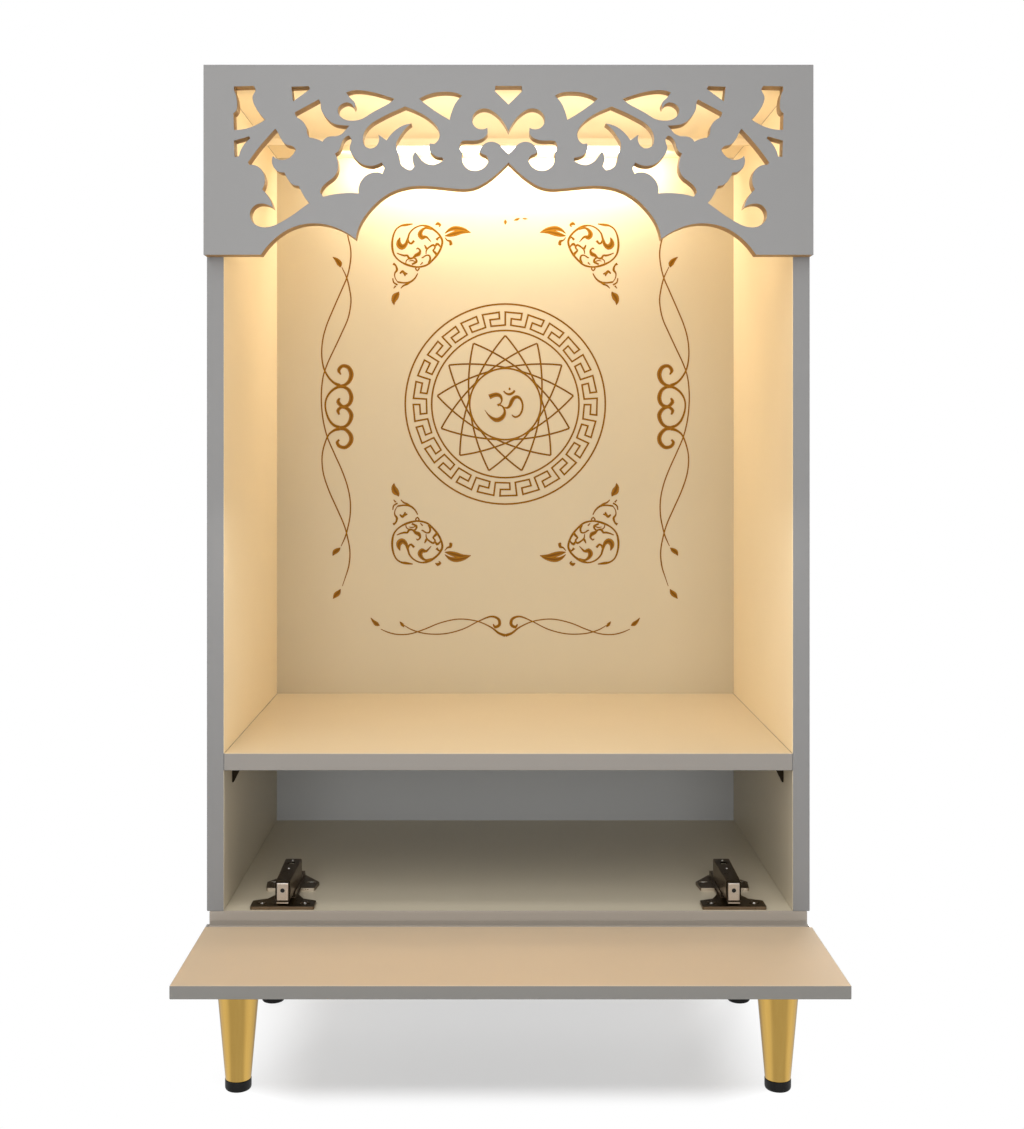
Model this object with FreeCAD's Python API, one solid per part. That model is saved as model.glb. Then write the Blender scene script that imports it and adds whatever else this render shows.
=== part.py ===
import FreeCAD, Part
import math
import os

# A household shrine cabinet of laminated boards on four tapered metal legs.
# Millimetres, +Z up, front towards -Y, origin on the ground under the middle of the whole part.

# Cabinet
CABINET_WIDTH = 600.0
CABINET_DEPTH = 368.0
CABINET_HEIGHT = 1025.0
BOARD = 17.0
BACK_BOARD = 12.0
BASE_SIDE_STEP = 2.5
BASE_NOSE = 17.0
NOSE_DROP = 9.0
NOSE_SIDE_STEP = 4.5
STORE_HEIGHT = 140.0
EDGE_EASE = 0.6

# Fretwork fascia
FASCIA_HEIGHT = 187.0
FRET_SIDE_MARGIN = 29.5
ROUTER_TOLERANCE = 0.35

# Legs
LEG_HEIGHT = 170.0
LEG_TOP_DIAMETER = 54.0
LEG_BOTTOM_DIAMETER = 26.0
LEG_WALL = 1.2
LEG_FRONT_SETBACK = 25.0
LEG_REAR_SETBACK = 107.0
LEG_SIDES = 30
LEG_PLATE = 3.0
LEG_SPIGOT = 5.0
FOOT_HEIGHT = 11.0
FOOT_DIAMETER = 26.6
FOOT_PLUG = 7.0
FOOT_CHAMFER = 1.6
PLUG_FIT = 0.15

# Drop-down flap and its end pivots
FLAP_LENGTH = 158.0
FLAP_THICKNESS = 12.0
FLAP_SIDE_STEP = 2.0
HINGE_GAP = 2.5
CLOSED_GAP_FRONT = 5.0
CLOSED_GAP_BASE = 5.0
PIVOT_PLATE = 2.0
PIVOT_PLATE_HEIGHT = 8.0
PIVOT_PLATE_REACH = 36.0
PIN_DIAMETER = 4.0
PIN_DEPTH = 9.5
PIN_FIT = 0.05

# Ceiling light
RAIL_THICKNESS = 7.0
RAIL_DROP = 7.5
LIGHT_REAR_GAP = 62.0
LIGHT_LENGTH = 304.0
LIGHT_WIDTH = 44.0
LIGHT_HEIGHT = 5.5
LIGHT_WALL = 1.2
DIFFUSER_FIT = 0.2
DIFFUSER_DEPTH = 4.3
DIFFUSER_PROUD = 1.0
DIFFUSER_CORNER = 0.8

# Concealed-hinge hardware on the compartment floor
HINGE_INSET = 57.0
HINGE_SETBACK = 4.0
PLATE_THICKNESS = 3.2
PLATE_LENGTH = 108.0
FRONT_WING_WIDTH = 64.0
FRONT_WING_END = 20.5
FRONT_WING_SHOULDER = 27.0
FRONT_WING_LENGTH = 42.0
REAR_WING_WIDTH = 55.0
REAR_WING_TOE_WIDTH = 50.0
REAR_WING_LENGTH = 46.0
REAR_WING_TAPER = 24.0
NECK_WIDTH = 22.0
SHOULDER_WIDTH = 36.0
WING_CORNER = 2.0
SLOT_LENGTH = 10.0
SLOT_WIDTH = 4.6
FRONT_SLOT_SETBACK = 12.0
REAR_SLOT_SETBACK = 25.0
SADDLE_WIDTH = 19.0
SADDLE_LENGTH = 78.0
SADDLE_HEIGHT = 8.0
ARM_WIDTH = 15.0
ARM_REAR_WIDTH = 17.5
ARM_WALL = 1.4
ARM_LENGTH = 79.0
ARM_HEIGHT = 27.0
ARM_SETBACK = 11.0
ARM_HOLE_DIAMETER = 8.0
ARM_HOLE_SETBACK = 63.0
ARM_PIP_DIAMETER = 3.0
ARM_PIP_SETBACK = 43.5
BLOCK_HEIGHT = 20.0
BLOCK_DEPTH = 12.0
BLOCK_PROUD = 2.5
BLOCK_FIT = 0.2
BLOCK_CORNER = 1.0
BLOCK_HOLE_DIAMETER = 4.4
BLOCK_HOLE_DROP = 7.5

# Corner braces under the altar shelf
BRACE_HEIGHT = 22.0
BRACE_REACH = 12.0
BRACE_WIDTH = 10.0
BRACE_SHEET = 1.6
BRACE_FRONT_SETBACK = 50.0
BRACE_REAR_SETBACK = 60.0

# Heights and depths that follow from the sizes above
HALF_WIDTH = CABINET_WIDTH / 2
BASE_HALF_WIDTH = HALF_WIDTH - BASE_SIDE_STEP
NOSE_HALF_WIDTH = HALF_WIDTH - NOSE_SIDE_STEP
FLAP_HALF_WIDTH = HALF_WIDTH - FLAP_SIDE_STEP
INNER_HALF_WIDTH = HALF_WIDTH - BOARD
BASE_TOP = LEG_HEIGHT + BOARD
NOSE_TOP = BASE_TOP - NOSE_DROP
SHELF_BOTTOM = BASE_TOP + STORE_HEIGHT
SHELF_TOP = SHELF_BOTTOM + BOARD
SIDE_TOP = CABINET_HEIGHT - BOARD
OPEN_REACH = BASE_NOSE + HINGE_GAP + FLAP_LENGTH
FRONT = (OPEN_REACH - CABINET_DEPTH) / 2
REAR = FRONT + CABINET_DEPTH
BACK_FACE = REAR - BACK_BOARD

# The pivot stands where the flap is level with the nose when open and clears the cabinet when closed
PIVOT_DROP = (BASE_NOSE + HINGE_GAP - CLOSED_GAP_FRONT - CLOSED_GAP_BASE) / 2
PIVOT_Y = FRONT - CLOSED_GAP_FRONT - PIVOT_DROP
PIVOT_Z = NOSE_TOP - PIVOT_DROP

# Cut-outs of the fascia: (out from the centre line, down from the top). Each stroke runs to the first
# point of the next one: a lone point starts a straight line, two an arc, and more a smooth curve.
CORNER_SCROLL = [
    [(270, 21.4)],
    [(250.9, 20.9), (248.9, 24.7), (251.5, 30.5), (249.8, 40.1), (246.2, 46.5)],
    [(239.2, 54), (248.2, 59.3), (258.8, 63)],
    [(270, 64.1)],
    [(270.5, 47.6), (267.2, 44.4), (266.8, 38), (267.4, 32.6)],
    [(270, 25.2)],
]
CORNER_THORN = [
    [(270, 74.7)],
    [(255.1, 70.5)],
    [(254, 72.6), (261.5, 80.5)],
    [(265.2, 90.2)],
    [(269.3, 90.8)],
]
TOP_THORN = [
    [(213.5, 21.7)],
    [(196.5, 21.1)],
    [(195.1, 23.9)],
    [(211.9, 36.1)],
]
UPPER_LEAF = [
    [(209.9, 46.8)],
    [(186.6, 34.2), (184.9, 37.6), (184.3, 43.5), (180.6, 50.3), (174.4, 56.7), (166.5, 59.3)],
    [(156.6, 59.9), (162.2, 66.2), (166.5, 69.5), (174.4, 70.5)],
    [(182.9, 75.7), (188.2, 73.3)],
    [(195.5, 71.7), (198.1, 66.6), (199, 61.3), (203, 55.4), (208, 52.4)],
]
UPPER_CURL = [
    [(159.6, 27.4), (150.6, 25.1), (140, 25.8), (128.6, 28.3)],
    [(112.1, 33.6), (124.2, 42), (134.7, 47.7), (141.8, 52.5), (153.2, 55), (162, 53.4),
     (166.8, 48.6), (167.9, 45), (163.7, 38.9), (159.3, 37.2), (155, 38.5)],
    [(151.9, 42.9), (150.9, 40.2), (153.2, 34.9), (157.1, 30.6)],
]
UPPER_PETAL = [
    [(87.8, 33.6), (75.9, 28.3), (62.7, 26.6), (51.3, 27.9)],
    [(45.6, 30.6), (51.3, 36.7), (55.3, 44.6)],
    [(57.9, 54.3), (71.6, 45.9)],
]
MIDDLE_VINE = [
    [(101.7, 41.1), (89.1, 46.3), (77.7, 53.4), (70.2, 61.3), (67.5, 70.1)],
    [(73.3, 78)],
    [(77.3, 77.5), (77.7, 82.4), (73.3, 88.5)],
    [(65, 91.2)],
    [(64.1, 93.8), (69.8, 97.3), (75.9, 98.6), (82.1, 96.4), (88.2, 90.3)],
    [(91.8, 84.6), (94.4, 91.2)],
    [(92.4, 99.5)],
    [(95.7, 103.6), (102.3, 101.2), (106.7, 95.5), (108, 88.5), (110.6, 80.6), (107.6, 71.8),
     (102.3, 63.9)],
    [(95.3, 57.8), (106.7, 61.3), (112.8, 65.7)],
    [(119.9, 74.4)],
    [(128.1, 68.7), (127.7, 75.3), (130.4, 80.1), (135.6, 82.2), (140.9, 80.1), (143.1, 75.3),
     (142.7, 69.2), (139.1, 62.1), (130.4, 55.2), (115.4, 47.2)],
]
LOWER_SCROLL = [
    [(229.2, 63), (224.7, 71), (219.4, 78), (213, 80)],
    [(209.3, 83.3), (213, 89.1), (222.6, 93.4)],
    [(231.7, 89.7), (232.5, 95.6), (229, 103)],
    [(220.5, 106), (218.9, 109.9), (214.1, 116.8)],
    [(206.6, 119), (204.5, 123.2), (200.7, 130.2)],
    [(196, 136), (210.8, 146.7), (226.9, 156.3), (240.7, 160), (249.3, 157.3), (253.5, 150.9),
     (253.5, 143.5), (248.2, 138.2), (240.7, 137.1)],
    [(231.7, 140.8), (234.3, 132.9)],
    [(242.3, 122.7), (239.2, 113.7), (240.1, 106.2), (246, 100.3)],
    [(255.1, 98.5)],
    [(256.2, 96.1), (248.2, 84.9), (238.6, 73.2)],
]
LOWER_LEAF = [
    [(156.9, 69.8), (154.5, 75.2), (156.2, 81), (152.6, 89.9), (145.7, 96.9), (136.8, 99.4)],
    [(124.8, 96.1)],
    [(121.8, 101.7)],
    [(124.1, 107.2), (130.9, 105.7), (139.8, 108.7), (145.7, 115.5)],
    [(147.3, 126.5), (166.5, 126.5)],
    [(182.3, 129.8)],
    [(185.3, 125.5), (178.3, 115.5), (170.4, 108.7), (168.1, 99.8)],
    [(170.6, 87.3), (165.5, 82), (163.5, 75.1)],
]
SIDE_CUTS = [
    CORNER_SCROLL, CORNER_THORN, TOP_THORN, UPPER_LEAF, UPPER_CURL,
    UPPER_PETAL, MIDDLE_VINE, LOWER_SCROLL, LOWER_LEAF,
]

# Half outlines on the centre line, which are mirrored and joined: from the top down, and the arch
CENTRE_THORN = [
    [(0, 20.9)],
    [(13, 20.9)],
    [(13.4, 26)],
    [(0, 39.1)],
]
CENTRE_HEART = [
    [(0, 65.5), (7.3, 53.2), (14.3, 46.6), (23.1, 43.1), (31, 45.3), (34.9, 50.5), (35.4, 56.7),
     (31.9, 62), (25.7, 63.5)],
    [(20.7, 62)],
    [(20.5, 67.3), (26.6, 73.4), (33.6, 74.7)],
    [(45.4, 75.1), (48.1, 80.4)],
    [(45, 86.5), (44.2, 97.2), (39.7, 102.4), (32.7, 104.3), (24.9, 101.5), (20.7, 96.3), (20.8, 91)],
    [(24.9, 88.3)],
    [(28.8, 85.7), (23.1, 77.8), (17.8, 75.8), (10.8, 77.4), (4.6, 83.1)],
    [(0, 88.1)],
]
ARCH_EDGE = [
    [(0, 96.3), (8.5, 104.7), (22.2, 115.5), (34.1, 121.2), (53.9, 121.9), (77.6, 119.6),
     (95.4, 119.6), (111.1, 123.5), (127, 133.3), (138.9, 146.2), (146.7, 159)],
    [(150.3, 171.5), (170.4, 160), (190.2, 156.1), (206, 158), (221.8, 165), (236.6, 177.8)],
    [(243.5, 187)],
]

# The drawing's own reach, by which it is fitted to the fascia board
DRAWING_REACH = max(point[0] for strokes in SIDE_CUTS for stroke in strokes for point in stroke)
DRAWING_DEPTH = ARCH_EDGE[-1][0][1]


def block(x_range, y_range, z_range):
    """A box between two X, two Y and two Z values."""
    size = [high - low for low, high in (x_range, y_range, z_range)]
    corner = FreeCAD.Vector(x_range[0], y_range[0], z_range[0])
    return Part.makeBox(size[0], size[1], size[2], corner)


def board(x_range, y_range, z_range):
    """A board with its edges eased as edge banding leaves them."""
    solid = block(x_range, y_range, z_range)
    return solid.makeChamfer(EDGE_EASE, solid.Edges)


def cylinder(radius, start, along, length):
    """A cylinder from a start point along a direction."""
    return Part.makeCylinder(radius, length, FreeCAD.Vector(*start), FreeCAD.Vector(*along))


def turned(profile, centre):
    """A solid about an upright line from (radius, height) points, turned in narrow flats to keep it light."""
    rings = []
    for radius, height in profile:
        angles = [2 * math.pi * index / LEG_SIDES for index in range(LEG_SIDES)]
        rings.append([
            FreeCAD.Vector(centre[0] + radius * math.cos(angle), centre[1] + radius * math.sin(angle), height)
            for angle in angles
        ])
    faces = []
    for (low_radius, _), (high_radius, _), low, high in zip(profile, profile[1:], rings, rings[1:]):
        for index in range(LEG_SIDES):
            after = (index + 1) % LEG_SIDES
            corners = [low[index], low[after]] if low_radius else [low[index]]
            corners += [high[after], high[index]] if high_radius else [high[index]]
            faces.append(Part.Face(Part.makePolygon(corners + corners[:1])))
    return Part.makeSolid(Part.makeShell(faces))


def prism(points, travel):
    """A closed outline of space points pushed along a travel vector."""
    vectors = [FreeCAD.Vector(*point) for point in points]
    face = Part.Face(Part.makePolygon(vectors + vectors[:1]))
    return face.extrude(FreeCAD.Vector(*travel))


def slot_cutter(centre_x, centre_y, z_range):
    """A screw slot that runs along X, as a cutter through a plate."""
    half_run = (SLOT_LENGTH - SLOT_WIDTH) / 2
    bar = block(
        (centre_x - half_run, centre_x + half_run),
        (centre_y - SLOT_WIDTH / 2, centre_y + SLOT_WIDTH / 2),
        z_range,
    )
    height = z_range[1] - z_range[0]
    ends = [
        cylinder(SLOT_WIDTH / 2, (centre_x + side * half_run, centre_y, z_range[0]), (0, 0, 1), height)
        for side in (-1, 1)
    ]
    return bar.fuse(ends)


def sheet_point(point, side):
    """A point of the fascia drawing, on the front face of the fascia."""
    out = point[0] * (HALF_WIDTH - FRET_SIDE_MARGIN) / DRAWING_REACH
    down = point[1] * FASCIA_HEIGHT / DRAWING_DEPTH
    return FreeCAD.Vector(side * out, FRONT - BOARD, CABINET_HEIGHT - down)


def stroke_curve(points):
    """The edges of one stroke: a line, one arc, or a smooth run of arcs as a router cuts it."""
    if len(points) == 2:
        return [Part.makeLine(points[0], points[1])]
    if len(points) == 3:
        return [Part.Arc(points[0], points[1], points[2]).toShape()]
    curve = Part.BSplineCurve()
    curve.interpolate(points)
    return [arc.toShape() for arc in curve.toBiArcs(ROUTER_TOLERANCE)]


def stroke_edges(strokes, side, closing):
    """The edges of a run of strokes, each ending where the next one starts."""
    ends = [stroke[0] for stroke in strokes[1:]] + closing
    edges = []
    for stroke, end in zip(strokes, ends):
        edges += stroke_curve([sheet_point(point, side) for point in stroke + [end]])
    return edges


def cut_prism(edges):
    """A cutter through the fascia from a closed set of edges on its front face."""
    wire = Part.Wire(Part.__sortEdges__(edges))
    cutter = Part.Face(wire).extrude(FreeCAD.Vector(0, BOARD, 0))
    return cutter


def side_cutter(strokes, side):
    """One cut-out beside the centre line."""
    return cut_prism(stroke_edges(strokes, side, [strokes[0][0]]))


def centre_cutter(strokes):
    """One cut-out across the centre line, from its half outline."""
    halves = [edge for side in (-1, 1) for edge in stroke_edges(strokes, side, [])]
    return cut_prism(halves)


def arch_cutter():
    """The space under the fascia's multifoil lower edge."""
    edges = [edge for side in (-1, 1) for edge in stroke_edges(ARCH_EDGE, side, [])]
    foot = ARCH_EDGE[-1][0]
    edges.append(Part.makeLine(sheet_point(foot, -1), sheet_point(foot, 1)))
    return cut_prism(edges)


def fretwork_fascia():
    """The fascia board with its arched lower edge and its cut-outs."""
    panel = block(
        (-HALF_WIDTH, HALF_WIDTH),
        (FRONT - BOARD, FRONT),
        (CABINET_HEIGHT - FASCIA_HEIGHT, CABINET_HEIGHT),
    )
    cutters = [side_cutter(strokes, side) for strokes in SIDE_CUTS for side in (-1, 1)]
    cutters += [centre_cutter(CENTRE_THORN), centre_cutter(CENTRE_HEART), arch_cutter()]
    return panel.cut(cutters)


def side_panel(side):
    """An upright side board on the base."""
    x_range = sorted((side * INNER_HALF_WIDTH, side * HALF_WIDTH))
    return board(x_range, (FRONT, REAR), (BASE_TOP, SIDE_TOP))


def top_panel():
    """The top board, which lies on the sides."""
    return board((-HALF_WIDTH, HALF_WIDTH), (FRONT, REAR), (SIDE_TOP, CABINET_HEIGHT))


def base_board():
    """The base board with its lower, narrower front nose and the holes for the flap's pins."""
    main_board = board((-BASE_HALF_WIDTH, BASE_HALF_WIDTH), (FRONT, REAR), (LEG_HEIGHT, BASE_TOP))
    nose = board(
        (-NOSE_HALF_WIDTH, NOSE_HALF_WIDTH),
        (FRONT - BASE_NOSE, FRONT + BASE_NOSE),
        (LEG_HEIGHT, NOSE_TOP),
    )
    solid = main_board.fuse(nose).removeSplitter()
    for side in (-1, 1):
        start = (side * NOSE_HALF_WIDTH, PIVOT_Y, PIVOT_Z)
        hole = cylinder(PIN_DIAMETER / 2 + PIN_FIT, start, (-side, 0, 0), PIN_DEPTH)
        solid = solid.cut(hole)
    return solid


def altar_shelf():
    """The shelf between the sides that carries the altar."""
    return board((-INNER_HALF_WIDTH, INNER_HALF_WIDTH), (FRONT, REAR), (SHELF_BOTTOM, SHELF_TOP))


def back_panel(z_range):
    """A back board between the sides, flush with their rear edges."""
    return block((-INNER_HALF_WIDTH, INNER_HALF_WIDTH), (BACK_FACE, REAR), z_range)


def light_rail():
    """The cross rail at the ceiling in front of the light."""
    rail_rear = light_place()[0]
    return block(
        (-INNER_HALF_WIDTH, INNER_HALF_WIDTH),
        (rail_rear - RAIL_THICKNESS, rail_rear),
        (SIDE_TOP - RAIL_DROP, SIDE_TOP),
    )


def light_place():
    """The light's Y range: it lies against the rear of the cross rail, in front of the back panel."""
    end = BACK_FACE - LIGHT_REAR_GAP
    return end - LIGHT_WIDTH, end


def light_housing():
    """A shallow metal tray under the ceiling, open downwards."""
    y_low, y_high = light_place()
    half = LIGHT_LENGTH / 2
    bottom = SIDE_TOP - LIGHT_HEIGHT
    tray = block((-half, half), (y_low, y_high), (bottom, SIDE_TOP))
    hollow = block(
        (-half + LIGHT_WALL, half - LIGHT_WALL),
        (y_low + LIGHT_WALL, y_high - LIGHT_WALL),
        (bottom, SIDE_TOP - LIGHT_WALL),
    )
    return tray.cut(hollow)


def light_diffuser():
    """The opal cover that fills the tray, with its lower edges rounded."""
    y_low, y_high = light_place()
    inset = LIGHT_WALL + DIFFUSER_FIT
    half = LIGHT_LENGTH / 2 - inset
    bottom = SIDE_TOP - LIGHT_HEIGHT - DIFFUSER_PROUD
    cover = block(
        (-half, half),
        (y_low + inset, y_high - inset),
        (bottom, bottom + DIFFUSER_DEPTH),
    )
    lower_edges = [edge for edge in cover.Edges if edge.BoundBox.ZMax < bottom + DIFFUSER_PROUD / 2]
    return cover.makeFillet(DIFFUSER_CORNER, lower_edges)


def leg_centres():
    """The centre of each leg on the ground, by name."""
    out = HALF_WIDTH - LEG_TOP_DIAMETER / 2
    rows = {"front": FRONT + LEG_FRONT_SETBACK, "rear": REAR - LEG_REAR_SETBACK}
    sides = {"left": -out, "right": out}
    return {
        f"{row}_{side}": (x, y)
        for row, y in rows.items()
        for side, x in sides.items()
    }


def leg_inner_radius(height):
    """The inside radius of a leg's tube at a height above the ground."""
    top = LEG_HEIGHT - LEG_PLATE
    rise = (height - FOOT_HEIGHT) / (top - FOOT_HEIGHT)
    outer = LEG_BOTTOM_DIAMETER / 2 + rise * (LEG_TOP_DIAMETER - LEG_BOTTOM_DIAMETER) / 2
    return outer - LEG_WALL


def leg(centre):
    """A tapered tube between its foot and its plate."""
    top = LEG_HEIGHT - LEG_PLATE
    profile = [
        (leg_inner_radius(FOOT_HEIGHT), FOOT_HEIGHT),
        (LEG_BOTTOM_DIAMETER / 2, FOOT_HEIGHT),
        (LEG_TOP_DIAMETER / 2, top),
        (leg_inner_radius(top), top),
        (leg_inner_radius(FOOT_HEIGHT), FOOT_HEIGHT),
    ]
    return turned(profile, centre)


def leg_foot(centre):
    """A moulded foot with a plug that fills the lower end of the tube."""
    rim = FOOT_DIAMETER / 2
    plug = leg_inner_radius(FOOT_HEIGHT) - PLUG_FIT
    plug_top = FOOT_HEIGHT + FOOT_PLUG
    profile = [
        (0, 0),
        (rim - FOOT_CHAMFER, 0),
        (rim, FOOT_CHAMFER),
        (rim, FOOT_HEIGHT),
        (plug, FOOT_HEIGHT),
        (plug, plug_top),
        (0, plug_top),
    ]
    return turned(profile, centre)


def leg_plate(centre):
    """A round plate between the leg and the base, with a spigot inside the tube."""
    top = LEG_HEIGHT - LEG_PLATE
    spigot = leg_inner_radius(top - LEG_SPIGOT) - PLUG_FIT
    profile = [
        (0, top - LEG_SPIGOT),
        (spigot, top - LEG_SPIGOT),
        (spigot, top),
        (LEG_TOP_DIAMETER / 2, top),
        (LEG_TOP_DIAMETER / 2, LEG_HEIGHT),
        (0, LEG_HEIGHT),
    ]
    return turned(profile, centre)


def pivot_plate_slab(side):
    """The flat bar of one end pivot, from above the pin to its front end."""
    x_range = sorted((side * (FLAP_HALF_WIDTH - PIVOT_PLATE), side * FLAP_HALF_WIDTH))
    half = PIVOT_PLATE_HEIGHT / 2
    return block(x_range, (PIVOT_Y - PIVOT_PLATE_REACH, PIVOT_Y), (PIVOT_Z - half, PIVOT_Z + half))


def flap_panel():
    """The flap, shown level, with a rebate in each end for its pivot plate."""
    rear = FRONT - BASE_NOSE - HINGE_GAP
    panel = board(
        (-FLAP_HALF_WIDTH, FLAP_HALF_WIDTH),
        (rear - FLAP_LENGTH, rear),
        (NOSE_TOP - FLAP_THICKNESS, NOSE_TOP),
    )
    return panel.cut([pivot_plate_slab(side) for side in (-1, 1)])


def flap_pivot_plate(side):
    """A flat bar let into the flap's end, with a round lug that turns on the pin."""
    inner = side * (FLAP_HALF_WIDTH - PIVOT_PLATE)
    start = (inner, PIVOT_Y, PIVOT_Z)
    lug = cylinder(PIVOT_PLATE_HEIGHT / 2, start, (side, 0, 0), PIVOT_PLATE)
    hole = cylinder(PIN_DIAMETER / 2 + PIN_FIT, start, (side, 0, 0), PIVOT_PLATE)
    return pivot_plate_slab(side).fuse(lug).cut(hole).removeSplitter()


def flap_pivot_pin(side):
    """A pin in the end of the base board's nose that carries one end of the flap."""
    start = (side * (NOSE_HALF_WIDTH - PIN_DEPTH), PIVOT_Y, PIVOT_Z)
    length = FLAP_HALF_WIDTH - NOSE_HALF_WIDTH + PIN_DEPTH
    return cylinder(PIN_DIAMETER / 2, start, (side, 0, 0), length)


def mirrored_outline(half_points, centre_x, height):
    """A closed outline from (half width, setback) points, symmetric about a line along Y."""
    right = [(centre_x + half, FRONT + setback, height) for half, setback in half_points]
    left = [(centre_x - half, FRONT + setback, height) for half, setback in reversed(half_points)]
    return right + left


def wing_plate(centre_x, z_range):
    """The flat plate of a hinge: two wings joined by a neck."""
    near = HINGE_SETBACK
    front_end = near + FRONT_WING_LENGTH
    rear_end = near + PLATE_LENGTH
    rear_start = rear_end - REAR_WING_LENGTH
    neck = NECK_WIDTH / 2
    outline = [
        (FRONT_WING_WIDTH / 2, near),
        (FRONT_WING_WIDTH / 2, near + FRONT_WING_END),
        (SHOULDER_WIDTH / 2, near + FRONT_WING_SHOULDER),
        (neck, front_end),
        (neck, rear_start),
        (REAR_WING_TOE_WIDTH / 2, rear_start),
        (REAR_WING_WIDTH / 2, rear_end - REAR_WING_TAPER),
        (neck, rear_end),
    ]
    plate = prism(
        mirrored_outline(outline, centre_x, z_range[0]),
        (0, 0, z_range[1] - z_range[0]),
    )
    corners = [
        edge
        for edge in plate.Edges
        if edge.BoundBox.ZLength > PLATE_THICKNESS / 2
        and abs(edge.CenterOfMass.x - centre_x) > neck + 1
    ]
    return plate.makeFillet(WING_CORNER, corners)


def hinge_plate(centre_x):
    """The plate that a hinge arm is clipped to: wings with screw slots and a raised saddle."""
    z_range = (BASE_TOP, BASE_TOP + PLATE_THICKNESS)
    plate = wing_plate(centre_x, z_range)
    saddle_start = FRONT + HINGE_SETBACK + PLATE_LENGTH - SADDLE_LENGTH
    saddle = block(
        (centre_x - SADDLE_WIDTH / 2, centre_x + SADDLE_WIDTH / 2),
        (saddle_start, saddle_start + SADDLE_LENGTH),
        (BASE_TOP, BASE_TOP + SADDLE_HEIGHT),
    )
    rows = [
        (FRONT + HINGE_SETBACK + FRONT_SLOT_SETBACK, FRONT_WING_WIDTH / 2),
        (FRONT + HINGE_SETBACK + PLATE_LENGTH - REAR_SLOT_SETBACK, REAR_WING_WIDTH / 2),
    ]
    slots = [
        slot_cutter(centre_x + side * (half + NECK_WIDTH / 2) / 2, y, z_range)
        for y, half in rows
        for side in (-1, 1)
    ]
    return plate.cut(slots).fuse(saddle).removeSplitter()


def arm_body(centre_x, inward, z_range):
    """The form of a hinge arm from above, wider towards its rear, drawn in by a wall and given its height."""
    outline = [
        (ARM_WIDTH / 2 - inward, ARM_SETBACK),
        (ARM_REAR_WIDTH / 2 - inward, ARM_SETBACK + ARM_LENGTH),
    ]
    return prism(
        mirrored_outline(outline, centre_x, z_range[0]),
        (0, 0, z_range[1] - z_range[0]),
    )


def hinge_arm(centre_x):
    """The sheet-metal arm of a hinge: a channel, open below, with its holes along the top."""
    start = FRONT + ARM_SETBACK
    top = BASE_TOP + ARM_HEIGHT
    bottom = BASE_TOP + SADDLE_HEIGHT
    arm = arm_body(centre_x, 0, (bottom, top))
    long_edges = [
        edge for edge in arm.Edges if edge.BoundBox.YLength > ARM_LENGTH / 2 and edge.CenterOfMass.z > top - 1
    ]
    arm = arm.makeFillet(ARM_WALL, long_edges)
    arm = arm.cut(arm_body(centre_x, ARM_WALL, (bottom, top - ARM_WALL)))
    adjuster = cylinder(
        ARM_HOLE_DIAMETER / 2, (centre_x, start + ARM_HOLE_SETBACK, top - ARM_WALL), (0, 0, 1), ARM_WALL
    )
    pip = cylinder(
        ARM_PIP_DIAMETER / 2, (centre_x, start + ARM_PIP_SETBACK, top - ARM_WALL), (0, 0, 1), ARM_WALL
    )
    return arm.cut([adjuster, pip])


def hinge_front_block(centre_x):
    """The plated block in the mouth of a hinge arm, with its round hole facing the front."""
    half = ARM_WIDTH / 2 - ARM_WALL - BLOCK_FIT
    start = FRONT + ARM_SETBACK - BLOCK_PROUD
    top = BASE_TOP + ARM_HEIGHT - ARM_WALL - BLOCK_FIT
    solid = block((centre_x - half, centre_x + half), (start, start + BLOCK_DEPTH), (top - BLOCK_HEIGHT, top))
    upright = [edge for edge in solid.Edges if edge.BoundBox.YMax < start + 0.1]
    solid = solid.makeFillet(BLOCK_CORNER, upright)
    hole = cylinder(
        BLOCK_HOLE_DIAMETER / 2, (centre_x, start, top - BLOCK_HOLE_DROP), (0, 1, 0), BLOCK_DEPTH / 2
    )
    return solid.cut(hole)


def shelf_brace(side, setback):
    """A small corner brace between a side board and the shelf, with its triangular web."""
    wall = side * INNER_HALF_WIDTH
    y_low = FRONT + setback - BRACE_WIDTH / 2
    y_high = y_low + BRACE_WIDTH
    upright = block(
        sorted((wall, wall - side * BRACE_SHEET)),
        (y_low, y_high),
        (SHELF_BOTTOM - BRACE_HEIGHT, SHELF_BOTTOM),
    )
    level = block(
        sorted((wall, wall - side * BRACE_REACH)),
        (y_low, y_high),
        (SHELF_BOTTOM - BRACE_SHEET, SHELF_BOTTOM),
    )
    web_points = [
        (wall, y_low, SHELF_BOTTOM - BRACE_HEIGHT),
        (wall - side * BRACE_SHEET, y_low, SHELF_BOTTOM - BRACE_HEIGHT),
        (wall - side * BRACE_REACH, y_low, SHELF_BOTTOM - BRACE_SHEET),
        (wall - side * BRACE_REACH, y_low, SHELF_BOTTOM),
        (wall, y_low, SHELF_BOTTOM),
    ]
    web = prism(web_points, (0, BRACE_SHEET, 0))
    return upright.fuse([level, web]).removeSplitter()


def cabinet_pieces():
    """Every piece of the cabinet itself, by node name."""
    pieces = {
        "left_side_panel": side_panel(-1),
        "right_side_panel": side_panel(1),
        "top_panel": top_panel(),
        "base_board": base_board(),
        "altar_shelf": altar_shelf(),
        "altar_back_panel": back_panel((SHELF_TOP, SIDE_TOP)),
        "store_back_panel": back_panel((BASE_TOP, SHELF_BOTTOM)),
        "fretwork_fascia": fretwork_fascia(),
        "light_rail": light_rail(),
        "light_housing": light_housing(),
        "light_diffuser": light_diffuser(),
    }
    for name, centre in leg_centres().items():
        pieces[f"leg_{name}"] = leg(centre)
        pieces[f"leg_foot_{name}"] = leg_foot(centre)
        pieces[f"leg_plate_{name}"] = leg_plate(centre)
    return pieces


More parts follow.
